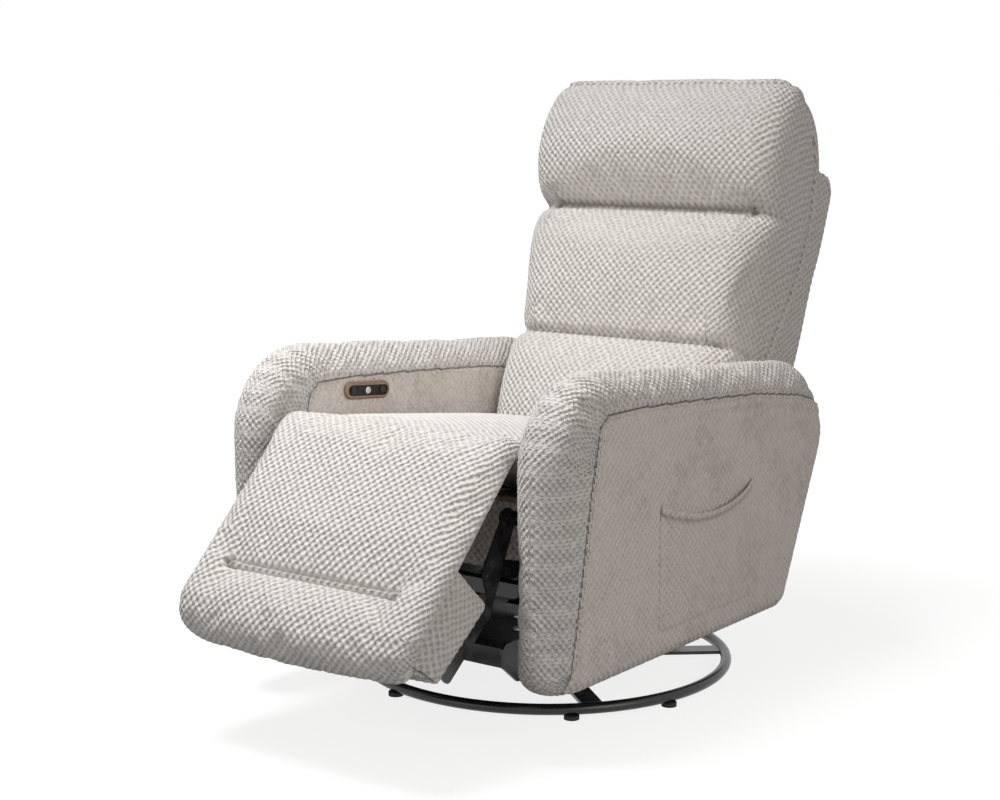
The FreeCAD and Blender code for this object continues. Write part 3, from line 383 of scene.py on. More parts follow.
def inflate(obj, held):
    """Swell the form as cloth under pressure; held is the share by which each point is kept in place."""
    start = coordinates(obj.data)
    group = obj.vertex_groups.new(name="held")
    tenths = np.round(held, 1)
    for share in np.unique(tenths[tenths > 0]):
        group.add(np.flatnonzero(tenths == share).tolist(), float(share), "REPLACE")
    cloth = obj.modifiers.new("cloth", "CLOTH")
    settings = cloth.settings
    settings.quality = 4
    settings.mass = 0.3
    settings.tension_stiffness = settings.compression_stiffness = 25.0
    settings.shear_stiffness = 10.0
    settings.bending_stiffness = 2.0
    settings.use_pressure = True
    settings.uniform_pressure_force = CLOTH_PRESSURE
    settings.shrink_min = -CLOTH_SLACK
    settings.vertex_group_mass = "held"
    settings.pin_stiffness = 5.0
    settings.effector_weights.gravity = 0.0
    cloth.collision_settings.use_collision = False
    cloth.point_cache.frame_start = 1
    cloth.point_cache.frame_end = CLOTH_FRAMES
    scene = bpy.context.scene
    for step in range(1, CLOTH_FRAMES + 1):
        scene.frame_set(step)
    bake(obj)
    scene.frame_set(1)
    move = coordinates(obj.data) - start
    length = np.linalg.norm(move, axis=1, keepdims=True)
    put_coordinates(obj.data, start + move * np.minimum(1, CLOTH_CAP / np.maximum(length, 1e-9)))
    obj.vertex_groups.clear()


def press(obj, depth):
    """Push points in along their normals by a depth each."""
    put_coordinates(obj.data, coordinates(obj.data) - normals(obj.data) * depth[:, None])


def weave(obj, across, along, depth, painted_seam_shade):
    """Keep the cloth's coordinates for the material, with the painted shade along its seams, and press in the pits
    of its weave.
    """
    attribute = obj.data.attributes.new("weave", "FLOAT_VECTOR", "POINT")
    flat = np.stack([across, along, np.zeros_like(across)], 1)
    attribute.data.foreach_set("vector", flat.astype(np.float32).ravel())
    attribute = obj.data.attributes.new("painted_seam_shade", "FLOAT", "POINT")
    attribute.data.foreach_set("value", np.asarray(painted_seam_shade, np.float32))
    first = np.cos(math.pi * (across / WEAVE_ACROSS + along / WEAVE_ALONG)) ** 2
    second = np.cos(math.pi * (across / WEAVE_ACROSS - along / WEAVE_ALONG)) ** 2
    press(obj, depth * (PIT_SHARE * first * second + FIRST_SHARE * first + SECOND_SHARE * second))
    obj.data.polygons.foreach_set("use_smooth", [True] * len(obj.data.polygons))
    obj.data.update()


def add_mesh(obj, other):
    """Move another object's mesh into an object."""
    whole = bmesh.new()
    whole.from_mesh(obj.data)
    whole.from_mesh(other.data)
    whole.to_mesh(obj.data)
    whole.free()
    bpy.data.objects.remove(other)


def cord(path, radius, sides=8):
    """Rings of a round cord along a path."""
    path = np.array(path)
    ahead = np.gradient(path, axis=0)
    ahead /= np.linalg.norm(ahead, axis=1, keepdims=True)
    first = np.cross(ahead, (1.0, 1.0, 1.0))
    first /= np.linalg.norm(first, axis=1, keepdims=True)
    second = np.cross(ahead, first)
    turns = np.linspace(0, 2 * math.pi, sides, endpoint=False)
    rings = []
    for place, a, b in zip(path, first, second):
        rings.append([place + radius * (math.cos(turn) * a + math.sin(turn) * b) for turn in turns])
    return rings


def surface(obj):
    """Search tree of an object's mesh, to seat other pieces on it."""
    faces = [tuple(polygon.vertices) for polygon in obj.data.polygons]
    return BVHTree.FromPolygons([tuple(p) for p in coordinates(obj.data)], faces)


def crowned(half, rim, crown, edge):
    """Section across a pad's face: a crown between edges that are rounded to a radius."""
    x = half * np.sin(np.linspace(-1, 1, FACE_POINTS) * math.pi / 2)
    over = np.maximum(0, np.abs(x) - (half - edge))
    drop = edge - np.sqrt(np.maximum(edge ** 2 - over ** 2, 0))
    return x, rim + (crown - rim) * (1 - (x / half) ** 2) - drop


def pad_ring(place, half, base, rim, crown, edge):
    """Ring of points round a pad: a crowned face, rounded edges, drawn-in sides and a flat base."""
    x, face = crowned(half, rim, crown, edge)
    down = np.linspace(0, 1, 7)[1:]
    side_out = face[-1] + (base - face[-1]) * down
    side_x = half - PAD_TUCK * down
    flat_x = np.linspace(side_x[-1], -side_x[-1], BASE_POINTS)[1:]
    points = [place(a, b) for a, b in zip(x, face)]
    points += [place(a, b) for a, b in zip(side_x, side_out)]
    points += [place(a, base) for a in flat_x]
    points += [place(-a, b) for a, b in zip(side_x[-2::-1], side_out[-2::-1])]
    return points


# Chaise pad: the seat, the knee, the legrest and its toe in one stuffed cover

PAD_HALF = seat_high.x + 0.002
PAD_PULL = 0.004
PAD_TUCK = 0.004
PAD_EDGE = 0.024
PAD_BASE = 0.042
PAD_RIM, PAD_CROWN = 0.077, 0.083
SEAT_SLOPE = 0.123
SEAT_LIFT = 0.004
SEAT_TUCK = 0.006
SEAT_REAR = seat_high.y + 0.024
SEAT_RIM, SEAT_CROWN = 0.080, 0.092
SEAT_FALL, SEAT_FALL_SHARE = 0.18, 0.2
UNDERCUT, UNDERCUT_RISE = 0.110, 0.012
KNEE_GAP = 0.004
KNEE_REACH, KNEE_CROWN = 0.042, 0.008
KNEE_BASE, KNEE_BASE_RISE = 0.018, 0.026
LEG_START = 0.015
CHANNEL_AT = 0.283
CHANNEL_HALF = 0.168
CHANNEL_DIP, CHANNEL_DEPTH, CHANNEL_SIDES, FOLD_DEPTH = 0.012, 0.009, 0.003, 0.004
TOE_AT, TOE_OUT = 0.352, 0.020
TOE_INNER = 0.014
TOE_RIM, TOE_CROWN = 0.050, 0.009
TOE_CORNER = 0.026
TOE_TURN = 100
# Steps of the toe's tail: how far each runs on past the turn, and how much thinner it is
TAIL_STEPS = ((0.008, 0.001), (0.016, 0.004), (0.022, 0.010), (0.026, 0.018))
TAIL_EDGE = 0.018


def deck(y):
    """Height of the sloping seat deck."""
    return seat_low.z + SEAT_SLOPE * (seat_high.y - y)


def seat_base(y):
    """Height of the seat pad's underside: on the deck, and raised over the links at the front."""
    low = deck(y) + SEAT_LIFT
    share = np.clip((KNEE[0] + UNDERCUT - y) / UNDERCUT, 0, 1)
    return low + share * (KNEE[1] + UNDERCUT_RISE - low)


def leg_frame(points):
    """Along and out coordinates of points on the legrest."""
    offset = points[:, 1:] - KNEE
    return offset @ LEG_ALONG, offset @ LEG_OUT


def turned(turn, along=0.0, out=0.0, past=0.0):
    """Places on a ray that leaves a legrest point at a turn from its outward direction, moved past it."""
    way = math.sin(turn) * LEG_ALONG + math.cos(turn) * LEG_OUT
    step = math.cos(turn) * LEG_ALONG - math.sin(turn) * LEG_OUT
    start = KNEE + LEG_ALONG * along + LEG_OUT * out + step * past
    return lambda x, reach: (x, *(start + way * reach))


def chaise_rings():
    """Rings of the pad from the seat's rear over the knee and down the legrest to the toe's tail."""
    rings = []
    for share in np.linspace(0, 1, 14):
        y = SEAT_REAR + share * (KNEE[0] - KNEE_GAP - SEAT_REAR)
        low = deck(y) + SEAT_LIFT - PAD_PULL
        fall = 1 - SEAT_FALL * max(0.0, 1 - share / SEAT_FALL_SHARE) ** 2
        rings.append(pad_ring(lambda x, z, y=y: (x, y, z), PAD_HALF - SEAT_TUCK, seat_base(y),
                              low + SEAT_RIM * fall, low + SEAT_CROWN * fall, PAD_EDGE))
    for share in np.linspace(0.2, 0.85, 5):
        reach = KNEE_REACH + (PAD_RIM - KNEE_REACH) * share - PAD_PULL
        rings.append(pad_ring(turned(-LEG_SLOPE * (1 - share)), PAD_HALF, KNEE_BASE + KNEE_BASE_RISE * share,
                              reach, reach + KNEE_CROWN, PAD_EDGE))
    for along in np.linspace(LEG_START, TOE_AT, 26):
        rings.append(pad_ring(turned(0, along), PAD_HALF, PAD_BASE, PAD_RIM - PAD_PULL, PAD_CROWN - PAD_PULL,
                              PAD_EDGE))
    for turn in np.radians(np.linspace(14, TOE_TURN, 7)):
        half = PAD_HALF - TOE_CORNER * (1 - math.cos(turn)) ** 2
        rings.append(pad_ring(turned(turn, TOE_AT, TOE_OUT), half, TOE_INNER, TOE_RIM - PAD_PULL,
                              TOE_RIM + TOE_CROWN - PAD_PULL, PAD_EDGE))
    for past, thin in TAIL_STEPS:
        half = PAD_HALF - TOE_CORNER - thin / 2
        rings.append(pad_ring(turned(math.radians(TOE_TURN), TOE_AT, TOE_OUT, past), half, TOE_INNER,
                              TOE_RIM - PAD_PULL - thin, TOE_RIM + TOE_CROWN - PAD_PULL - thin, TAIL_EDGE))
    return rings


def channel_marks(points):
    """Distance of points from the sewn channel, and their share in it and in the folds at its ends."""
    along, out = leg_frame(points)
    width = np.abs(points[:, 0])
    on_face = smooth(-points[:, 1], -KNEE[0] + 0.02, -KNEE[0] + 0.06) * smooth(out, 0.030, 0.045)
    reach = smooth(-width, -CHANNEL_HALF - 0.014, -CHANNEL_HALF) * on_face
    gap = along - CHANNEL_AT
    ends = smooth(gap, -0.055, -0.015) * smooth(-gap, -0.006, 0)
    folds = cusp(width - CHANNEL_HALF + 0.25 * gap, 0.010) * ends * on_face
    return gap, reach, folds


def chaise_inside(points):
    """Distance of points from the pad's inner side."""
    along, out = leg_frame(points)
    toe = np.hypot(along - TOE_AT, np.maximum(out - TOE_OUT, 0)) - TOE_INNER
    leg = np.where(along > TOE_AT, toe, out - PAD_BASE)
    return np.where(points[:, 1] > KNEE[0], points[:, 2] - seat_base(points[:, 1]), leg)


def chaise_held(points):
    """Share by which the pad's underside, rear, channel and tail are kept in place as it swells."""
    gap, reach, folds = channel_marks(points)
    along, out = leg_frame(points)
    held = 1 - smooth(chaise_inside(points), 0.004, 0.016)
    held = np.maximum(held, smooth(points[:, 1], SEAT_REAR - 0.03, SEAT_REAR - 0.01))
    held = np.maximum(held, reach * smooth(-np.abs(gap), -0.006, -0.003))
    return np.maximum(held, 0.8 * smooth(-out, 0.0, 0.02) * smooth(along, TOE_AT - 0.01, TOE_AT))


def chaise_cloth(points):
    """Coordinates of points on the flat cloth: across it from its middle, and along it from the knee."""
    along, out = leg_frame(points)
    on_seat = points[:, 1] > KNEE[0]
    turn = np.clip(np.arctan2(KNEE[0] - points[:, 1], points[:, 2] - KNEE[1]), 0, LEG_SLOPE)
    toe = np.arctan2(along - TOE_AT, np.maximum(out - TOE_OUT, 1e-6))
    toe_run = toe * TOE_RIM + np.maximum(TOE_OUT - out, 0)
    length = np.where(along > TOE_AT, TOE_AT + toe_run, along) + LEG_SLOPE * PAD_RIM
    length = np.where(turn < LEG_SLOPE, turn * PAD_RIM, length)
    length = np.where(on_seat, KNEE[0] - points[:, 1], length)
    width = np.abs(points[:, 0])
    rim = np.where(on_seat, SEAT_RIM, PAD_RIM - PAD_BASE)
    fold = np.where(width > PAD_HALF - PAD_EDGE, np.maximum(0, rim - chaise_inside(points)), 0)
    return np.sign(points[:, 0]) * (width + fold), length


def make_chaise():
    pad = loft("chaise_pad", chaise_rings())
    remesh(pad)
    relax(pad)
    gap, reach, folds = channel_marks(coordinates(pad.data))
    press(pad, CHANNEL_DIP * cusp(gap, 0.030) * reach)
    inflate(pad, chaise_held(coordinates(pad.data)))
    subdivide(pad)
    gap, reach, folds = channel_marks(coordinates(pad.data))
    sewn = CHANNEL_DEPTH * cusp(gap, 0.005) + CHANNEL_SIDES * cusp(gap, 0.02)
    press(pad, sewn * reach + FOLD_DEPTH * folds)
    points = coordinates(pad.data)
    across, along = chaise_cloth(points)
    depth = 0.75 * PUFF_DEPTH * smooth(chaise_inside(points), 0.002, 0.012)
    # painted shade in the sewn channel and in the folds at its ends
    weave(pad, across, along, depth, 0.5 * cusp(gap, 0.003) * reach + 0.1 * folds)
    paint(pad, "waffle_fabric")
    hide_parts("seat_cushion", "knee_roll", "legrest_pad")
    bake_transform(pad)


# Back pad: three stuffed chambers between sewn channels, with sides that lap the shell up to a welt

BACK_HALF, BACK_WIDE = 0.242, 0.268
WIDEN_FROM, WIDEN_TO = 0.29, 0.50
BACK_PULL = 0.004
BACK_LOW, LOWER_SEAM, UPPER_SEAM, BACK_TOP = 0.028, 0.238, 0.497, 0.742
BACK_REAR = 0.105
HEAD_AT = 0.660
SEAM_HALF = 0.225
SEAM_DEPTH, SEAM_ENDS, SEAM_FOLD = 0.009, 0.003, 0.005
BACK_EDGE = 0.052
LIP, LIP_CORNER = 0.009, 0.003
TOP_TUCK = 0.012
TOP_RIM, TOP_CROWN, TOP_REAR, TOP_EDGE = 0.036, 0.044, 0.026, 0.03
# Depth of the face at each end of a chamber, and each chamber's ends with its depth at the sides and middle
SEAM_FACE = {BACK_LOW: 0.060, LOWER_SEAM: 0.047, UPPER_SEAM: 0.020, BACK_TOP: 0.046}
CHAMBERS = ((BACK_LOW, LOWER_SEAM, 0.074, 0.092), (LOWER_SEAM, UPPER_SEAM, 0.066, 0.085),
            (UPPER_SEAM, BACK_TOP, 0.096, 0.108))
WELT_RADIUS = 0.0065
WELT_PROUD = 1.01
WELT_FROM, WELT_TO = 0.20, 0.725
WELT_CORNER = 0.02
WELT_WANDER = 0.002
# Line of the welt in side view: height along the back, and distance behind the pivot's plane
WELT_UP = (0.03, 0.26, 0.377, 0.45, 0.531, 0.64, 0.696, 0.725, 0.742)
WELT_BEHIND = (0.100, 0.104, 0.130, 0.140, 0.143, 0.118, 0.079, 0.030, -0.020)


def back_frame(points):
    """Up and front coordinates of points on the back."""
    offset = points[:, 1:] - BACK
    return offset @ BACK_UP, -(offset @ BACK_BEHIND)


def back_half(up):
    """Half width of the back pad: clear of the arms below, full at the head."""
    return BACK_HALF + (BACK_WIDE - BACK_HALF) * smooth(up, WIDEN_FROM, WIDEN_TO)


def lip_half(up):
    """Half width of the back pad's lips, which lap the shell."""
    return BACK_HALF + 0.003 + 0.003 * smooth(up, WIDEN_FROM, WIDEN_TO)


def back_ring(up, half, rim, crown, rear, edge):
    """Ring round the back pad at a height along it."""
    lip = max(np.interp(up, WELT_UP, WELT_BEHIND), 0.02 - rim)
    x, face = crowned(half, rim, crown, edge)
    shares = np.linspace(0, 1, 9)[1:]
    drawn = min(half, lip_half(up))
    side = [(half - (half - drawn) * t ** 2, face[-1] - (face[-1] + lip) * t) for t in shares]
    inner = drawn - LIP - LIP_CORNER
    side += [(drawn - LIP / 2, -lip - LIP_CORNER), (drawn - LIP, -lip), (inner, -rear)]
    flat = [(a, -rear) for a in np.linspace(inner, -inner, BASE_POINTS)[1:-1]]
    section = list(zip(x, face)) + side + flat + [(-a, front) for a, front in side[::-1]]
    points = []
    for across, front in section:
        points.append((across, *(BACK + BACK_UP * up - BACK_BEHIND * front)))
    return points


def welt_path(tree):
    """Line of the welt on the pad: up one side of the back, along its top edge and down the other side."""
    side = []
    for up in np.linspace(WELT_FROM, WELT_TO, 90):
        behind = np.interp(up, WELT_UP, WELT_BEHIND) + WELT_WANDER * math.sin(up * 150)
        side.append((lip_half(up) + 0.002, *(BACK + BACK_UP * up + BACK_BEHIND * behind)))
    top = []
    for x in np.linspace(BACK_WIDE - WELT_CORNER, WELT_CORNER - BACK_WIDE, 70):
        front = TOP_CROWN + WELT_WANDER * math.sin(x * 130)
        top.append((x, *(BACK + BACK_UP * BACK_TOP - BACK_BEHIND * front)))
    raw = side + top + [(-x, y, z) for x, y, z in side[::-1]]
    line = np.array([tree.find_nearest(Vector(point))[0] for point in raw])
    for _ in range(3):
        line[1:-1] = (line[:-2] + 2 * line[1:-1] + line[2:]) / 4
    return line * [WELT_PROUD, 1, 1]


def back_rings():
    """Rings of the back pad, chamber by chamber from its lower edge to its top."""
    rings = []
    for low, high, rim, crown in CHAMBERS:
        for share in np.linspace(0, 1, 15)[:-1]:
            up = low + share * (high - low)
            seam = SEAM_FACE[low] + share * (SEAM_FACE[high] - SEAM_FACE[low])
            full = math.sin(math.pi * share) ** 0.5
            over = max(0.0, (up - HEAD_AT) / (BACK_TOP - HEAD_AT))
            rear = BACK_REAR * math.sqrt(1 - 0.88 * over ** 2)
            half = back_half(up) - 0.004 * (1 - full) - 0.006 * over ** 3
            pull = BACK_PULL * full
            rings.append(back_ring(up, half, seam + (rim - seam) * full - pull,
                                   seam + (crown - seam) * full - pull, rear, BACK_EDGE))
    rings.append(back_ring(BACK_TOP, BACK_WIDE - TOP_TUCK, TOP_RIM, TOP_CROWN, TOP_REAR, TOP_EDGE))
    return rings


def back_held(points):
    """Share by which the pad's rear, sides and channels are kept in place as it swells."""
    up, front = back_frame(points)
    width = np.abs(points[:, 0])
    held = 1 - smooth(front, -0.098, -0.085)
    held = np.maximum(held, smooth(width, BACK_HALF - 0.016, BACK_HALF - 0.010) * smooth(-front, 0.0, 0.04))
    sewn = smooth(-width, -SEAM_HALF - 0.01, -SEAM_HALF)
    for seam in (LOWER_SEAM, UPPER_SEAM):
        line = smooth(-np.abs(up - seam), -0.006, -0.003)
        held = np.maximum(held, line * sewn * smooth(front, 0.0, 0.02))
    return held


def back_seams(points):
    """Depth of the pad's channels and of the folds at their ends, and the painted shade in its channels and on
    both sides of the welt.
    """
    up, front = back_frame(points)
    width = np.abs(points[:, 0])
    depth = np.zeros(len(points))
    painted_seam_shade = np.zeros(len(points))
    on_face = smooth(front, -0.05, -0.03)
    sewn = smooth(-width, -SEAM_HALF - 0.012, -SEAM_HALF + 0.012)
    for seam in (LOWER_SEAM, UPPER_SEAM):
        depth += (SEAM_DEPTH * sewn + SEAM_ENDS) * cusp(up - seam, 0.005) * on_face
        # painted shade in the channel
        painted_seam_shade += (0.45 * sewn + 0.2) * cusp(up - seam, 0.003) * on_face
        ends = smooth(up, seam - 0.035, seam - 0.006) * smooth(-up, -seam - 0.03, -seam - 0.004)
        depth += SEAM_FOLD * cusp(width - SEAM_HALF, 0.007) * ends * on_face
    behind = -front - np.interp(up, WELT_UP, WELT_BEHIND)
    # painted shade along both sides of the welt cord
    painted_seam_shade += 0.6 * cusp(np.abs(behind) - 0.007, 0.003) * smooth(width, BACK_HALF - 0.03, BACK_HALF - 0.01)
    return depth, painted_seam_shade


def back_cloth(points):
    """Coordinates of points on the flat cloth: across it round the sides, and up it over the top."""
    up, front = back_frame(points)
    width = np.abs(points[:, 0])
    fold = np.where(width > back_half(up) - BACK_EDGE, np.maximum(0, 0.07 - front), 0)
    over = smooth(up, BACK_TOP - 0.025, BACK_TOP - 0.005) * np.maximum(0, 0.045 - front)
    return np.sign(points[:, 0]) * (width + 0.7 * fold), up + over


def make_back():
    pad = loft("back_pad", back_rings())
    remesh(pad)
    relax(pad)
    inflate(pad, back_held(coordinates(pad.data)))
    subdivide(pad)
    depth, painted_seam_shade = back_seams(coordinates(pad.data))
    press(pad, depth)
    welt = loft("back_welt", cord(welt_path(surface(pad)), WELT_RADIUS))
    added = len(welt.data.vertices)
    add_mesh(pad, welt)
    points = coordinates(pad.data)
    across, along = back_cloth(points)
    depth = PUFF_DEPTH * smooth(back_frame(points)[1], -0.100, -0.085)
    depth[-added:] = 0
    weave(pad, across, along, depth, np.append(painted_seam_shade, np.zeros(added)))
    paint(pad, "waffle_fabric")
    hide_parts("back_cushion")
    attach(pad, "backrest")


# Arms: a padded band over the front and the top, and flatter panels sewn in below it

EDGE_SMALL, EDGE_LARGE = 0.022, 0.050
ARM_CROWN = 0.004
ARM_PULL = 0.002
# Corners of the arm in side view, with their radii, from the bottom rear
ARM_CORNERS = ((0.268, arm_low.z, 0.034), (0.4769, 0.5310, 0.129), (arm_low.y, 0.606, 0.150),
               (arm_low.y, arm_low.z, 0.040))
OUTLINE_STEP = 0.006
FACE_DEPTH = 0.018
# Seam between the band and the panels in side view, from the bottom front
BAND_SEAM = ((-0.428, 0.10), (-0.372, 0.405), (-0.347, 0.510), (-0.325, 0.528), (-0.241, 0.5295),
             (-0.057, 0.520), (0.146, 0.506), (0.295, 0.486), (0.45, 0.446))
SEAM_GROOVE, STRIP_GROOVE, GROOVE_WIDTH = 0.0035, 0.003, 0.004
STRIP, STRIP_TOP = 0.022, 0.50
RECESS, INNER_RECESS = 0.003, 0.3
PANEL_PUFF = 0.3
STITCH_LENGTH, STITCH_PITCH, STITCH_ENDS = 0.0060, 0.0095, 0.05
STITCH_DROP, STITCH_RISE, STITCH_RADIUS = 0.006, 0.0008, 0.0010
STITCH_AHEAD = 0.002
RAY_START = 0.2


def rounded_outline(corners):
    """Points and outward normals along a closed YZ outline whose corners are rounded to their radii."""
    points = []
    count = len(corners)
    for i in range(count):
        here = np.array(corners[i][:2])
        back_way = np.array(corners[i - 1][:2]) - here
        on_way = np.array(corners[(i + 1) % count][:2]) - here
        back_way, on_way = back_way / np.linalg.norm(back_way), on_way / np.linalg.norm(on_way)
        half = math.acos(np.clip(back_way @ on_way, -1, 1)) / 2
        radius = corners[i][2]
        middle = here + (back_way + on_way) / np.linalg.norm(back_way + on_way) * radius / math.sin(half)
        start, end = here + back_way * radius / math.tan(half), here + on_way * radius / math.tan(half)
        first = math.atan2(*(start - middle)[::-1])
        sweep = math.remainder(math.atan2(*(end - middle)[::-1]) - first, 2 * math.pi)
        for turn in np.linspace(first, first + sweep, max(4, int(abs(sweep) * radius / OUTLINE_STEP))):
            points.append(middle + radius * np.array([math.cos(turn), math.sin(turn)]))
    dense = []
    for here, there in zip(points, points[1:] + points[:1]):
        cuts = max(1, int(np.linalg.norm(there - here) / OUTLINE_STEP))
        dense += [here + (there - here) * k / cuts for k in range(cuts)]
    dense = np.array(dense)
    tangent = np.roll(dense, -1, 0) - np.roll(dense, 1, 0)
    tangent /= np.linalg.norm(tangent, axis=1, keepdims=True)
    return dense, np.stack([tangent[:, 1], -tangent[:, 0]], 1)


def to_line(points, line):
    """Distance of YZ points to an open line, signed: positive above or in front of it."""
    best = np.full(len(points), 1e9)
    sign = np.ones(len(points))
    for start, end in zip(line[:-1], line[1:]):
        start, end = np.array(start), np.array(end)
        way = end - start
        share = np.clip((points - start) @ way / (way @ way), 0, 1)
        offset = points - (start + share[:, None] * way)
        distance = np.linalg.norm(offset, axis=1)
        side = way[0] * offset[:, 1] - way[1] * offset[:, 0]
        nearer = distance < best
        best = np.where(nearer, distance, best)
        sign = np.where(nearer, np.where(side >= 0, 1.0, -1.0), sign)
    return best * sign


def nearest_on(line, points, block=20000):
    """Index of the nearest line point for each point."""
    found = []
    for start in range(0, len(points), block):
        part = points[start:start + block]
        found.append(((part[:, None, :] - line[None, :, :]) ** 2).sum(2).argmin(1))
    return np.concatenate(found)


def arm_rings(outline, outward):
    """Rings from the inner to the outer face, round a thick padded edge at the top and the front."""
    soft = np.maximum(smooth(outline[:, 1], 0.40, 0.52), smooth(-outline[:, 0], 0.38, 0.45))
    edge = EDGE_SMALL + (EDGE_LARGE - EDGE_SMALL) * soft
    rings = []
    turns = np.linspace(0, math.pi / 2, 8)
    for side, order in ((-1, turns[::-1]), (1, turns)):
        for turn in order:
            across = side * (ARM_HALF - edge * (1 - math.sin(turn)))
            crown = ARM_CROWN * (across / ARM_HALF) ** 2
            inset = edge * (1 - math.cos(turn)) + crown + ARM_PULL * soft
            shifted = outline - outward * inset[:, None]
            rings.append(np.column_stack([ARM_MIDDLE + across, shifted]))
    return rings


def stitches(tree):
    """Running stitches on both faces of the left arm, along the lower side of the band's seam."""
    line = np.array(BAND_SEAM)
    run = np.concatenate([[0], np.cumsum(np.linalg.norm(np.diff(line, axis=0), axis=1))])

    def seam_point(along):
        return np.array([np.interp(along, run, line[:, axis]) for axis in (0, 1)])

    skins = []
    for side in (-1, 1):
        for start in np.arange(STITCH_ENDS, run[-1] - STITCH_ENDS, STITCH_PITCH):
            path = []
            for share in np.linspace(0, 1, 5):
                along = start + share * STITCH_LENGTH
                here, there = seam_point(along), seam_point(along + STITCH_AHEAD)
                y, z = here + STITCH_DROP * np.array([there[1] - here[1], here[0] - there[0]]) / STITCH_AHEAD
                hit = tree.ray_cast(Vector((ARM_MIDDLE + RAY_START * side, y, z)), Vector((-side, 0, 0)))[0]
                path.append((hit.x + side * STITCH_RISE * math.sin(math.pi * share), y, z))
            skins.append(cord(path, STITCH_RADIUS, 6))
    return loft("stitches", *skins)


def arm_marks(points):
    """Distance of points from the band's seam and the arm's middle, and which are on its outer side."""
    return to_line(points[:, 1:], BAND_SEAM), np.abs(points[:, 0] - ARM_MIDDLE), points[:, 0] > ARM_MIDDLE


def arm_held(points):
    """Share by which the arm's panels, seams and underside are kept in place as it swells."""
    seam, off, outer = arm_marks(points)
    on_face = smooth(off, ARM_HALF - 0.010, ARM_HALF - 0.003)
    held = on_face * smooth(-np.abs(seam), -0.012, -0.004)
    held = np.maximum(held, on_face * smooth(-seam, 0.0, 0.02) * 0.9)
    return np.maximum(held, 1 - smooth(points[:, 2], arm_low.z, arm_low.z + 0.012))


def arm_relief(points):
    """Depth of the grooves along the seams, and of the panels set in below them."""
    seam, off, outer = arm_marks(points)
    on_face = smooth(off, ARM_HALF - FACE_DEPTH, ARM_HALF - 0.008)
    strip = np.where(outer & (points[:, 2] < STRIP_TOP), STRIP, 0)
    below = np.where(strip > 0, STRIP_GROOVE * cusp(seam + STRIP, GROOVE_WIDTH), 0)
    recess = RECESS * smooth(-seam - strip, -0.002, 0.006) * np.where(outer, 1.0, INNER_RECESS)
    return on_face * (SEAM_GROOVE * cusp(seam, GROOVE_WIDTH) + below + recess)


def arm_cloth(points, outline):
    """Coordinates on the flat cloth: level and upright on the panels, and round the outline on the band."""
    seam, off, outer = arm_marks(points)
    panel = (off > ARM_HALF - FACE_DEPTH) & (seam < 0)
    nearest = nearest_on(outline, points[:, 1:])
    run = np.concatenate([[0], np.cumsum(np.linalg.norm(np.diff(outline, axis=0), axis=1))])[nearest]
    inset = np.linalg.norm(points[:, 1:] - outline[nearest], axis=1)
    round_band = np.where(outer, 1.0, -1.0) * (np.minimum(off, ARM_HALF) + 0.8 * inset)
    return np.where(panel, points[:, 1], round_band), np.where(panel, points[:, 2], run), panel


def make_arm():
    outline, outward = rounded_outline(ARM_CORNERS)
    arm = loft("arm_cover_left", arm_rings(outline, outward))
    remesh(arm)
    inflate(arm, arm_held(coordinates(arm.data)))
    subdivide(arm)
    press(arm, arm_relief(coordinates(arm.data)))
    thread = stitches(surface(arm))
    added = len(thread.data.vertices)
    add_mesh(arm, thread)
    points = coordinates(arm.data)
    across, along, panel = arm_cloth(points, outline)
    depth = PUFF_DEPTH * np.where(panel, PANEL_PUFF, 1.0)
    depth[-added:] = 0
    seam, off, outer = arm_marks(points)
    on_face = smooth(off, ARM_HALF - FACE_DEPTH, ARM_HALF - 0.008)
    # painted shade along the band's seam
    weave(arm, across, along, depth, 0.15 * on_face * cusp(seam, 0.0025))
    arm.data.materials.append(materials["waffle_fabric"])
    arm.data.materials.append(materials["arm_fabric"])
    centres = np.empty(len(arm.data.polygons) * 3, np.float32)
    arm.data.polygons.foreach_get("center", centres)
    seam, off, outer = arm_marks(centres.reshape(-1, 3))
    inside = (seam < 0) & (off > ARM_HALF - FACE_DEPTH)
    arm.data.polygons.foreach_set("material_index", inside.astype(np.int32))
    return arm


def mirror(obj, name):
    """Copy of a piece on the other side of the chair."""
    mesh = obj.data.copy()
    mesh.transform(Matrix.Diagonal((-1, 1, 1, 1)))
    mesh.flip_normals()
    copy = bpy.data.objects.new(name, mesh)
    bpy.context.scene.collection.objects.link(copy)
    return copy


def place_arm(arm, node):
    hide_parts(node)
    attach(arm, "frame")


# Side pocket: a cloth panel sewn to the left arm on three sides, with a hem along its sagging mouth

POCKET_SAG = 0.032
POCKET_BULGE = 0.010
POCKET_GAP = 0.001
POCKET_THICKNESS = 0.0022
POCKET_PUFF = 0.0006
HEM_FROM, HEM_TO, HEM_RISE, HEM_SEAM = 0.92, 0.945, 0.0030, 0.93


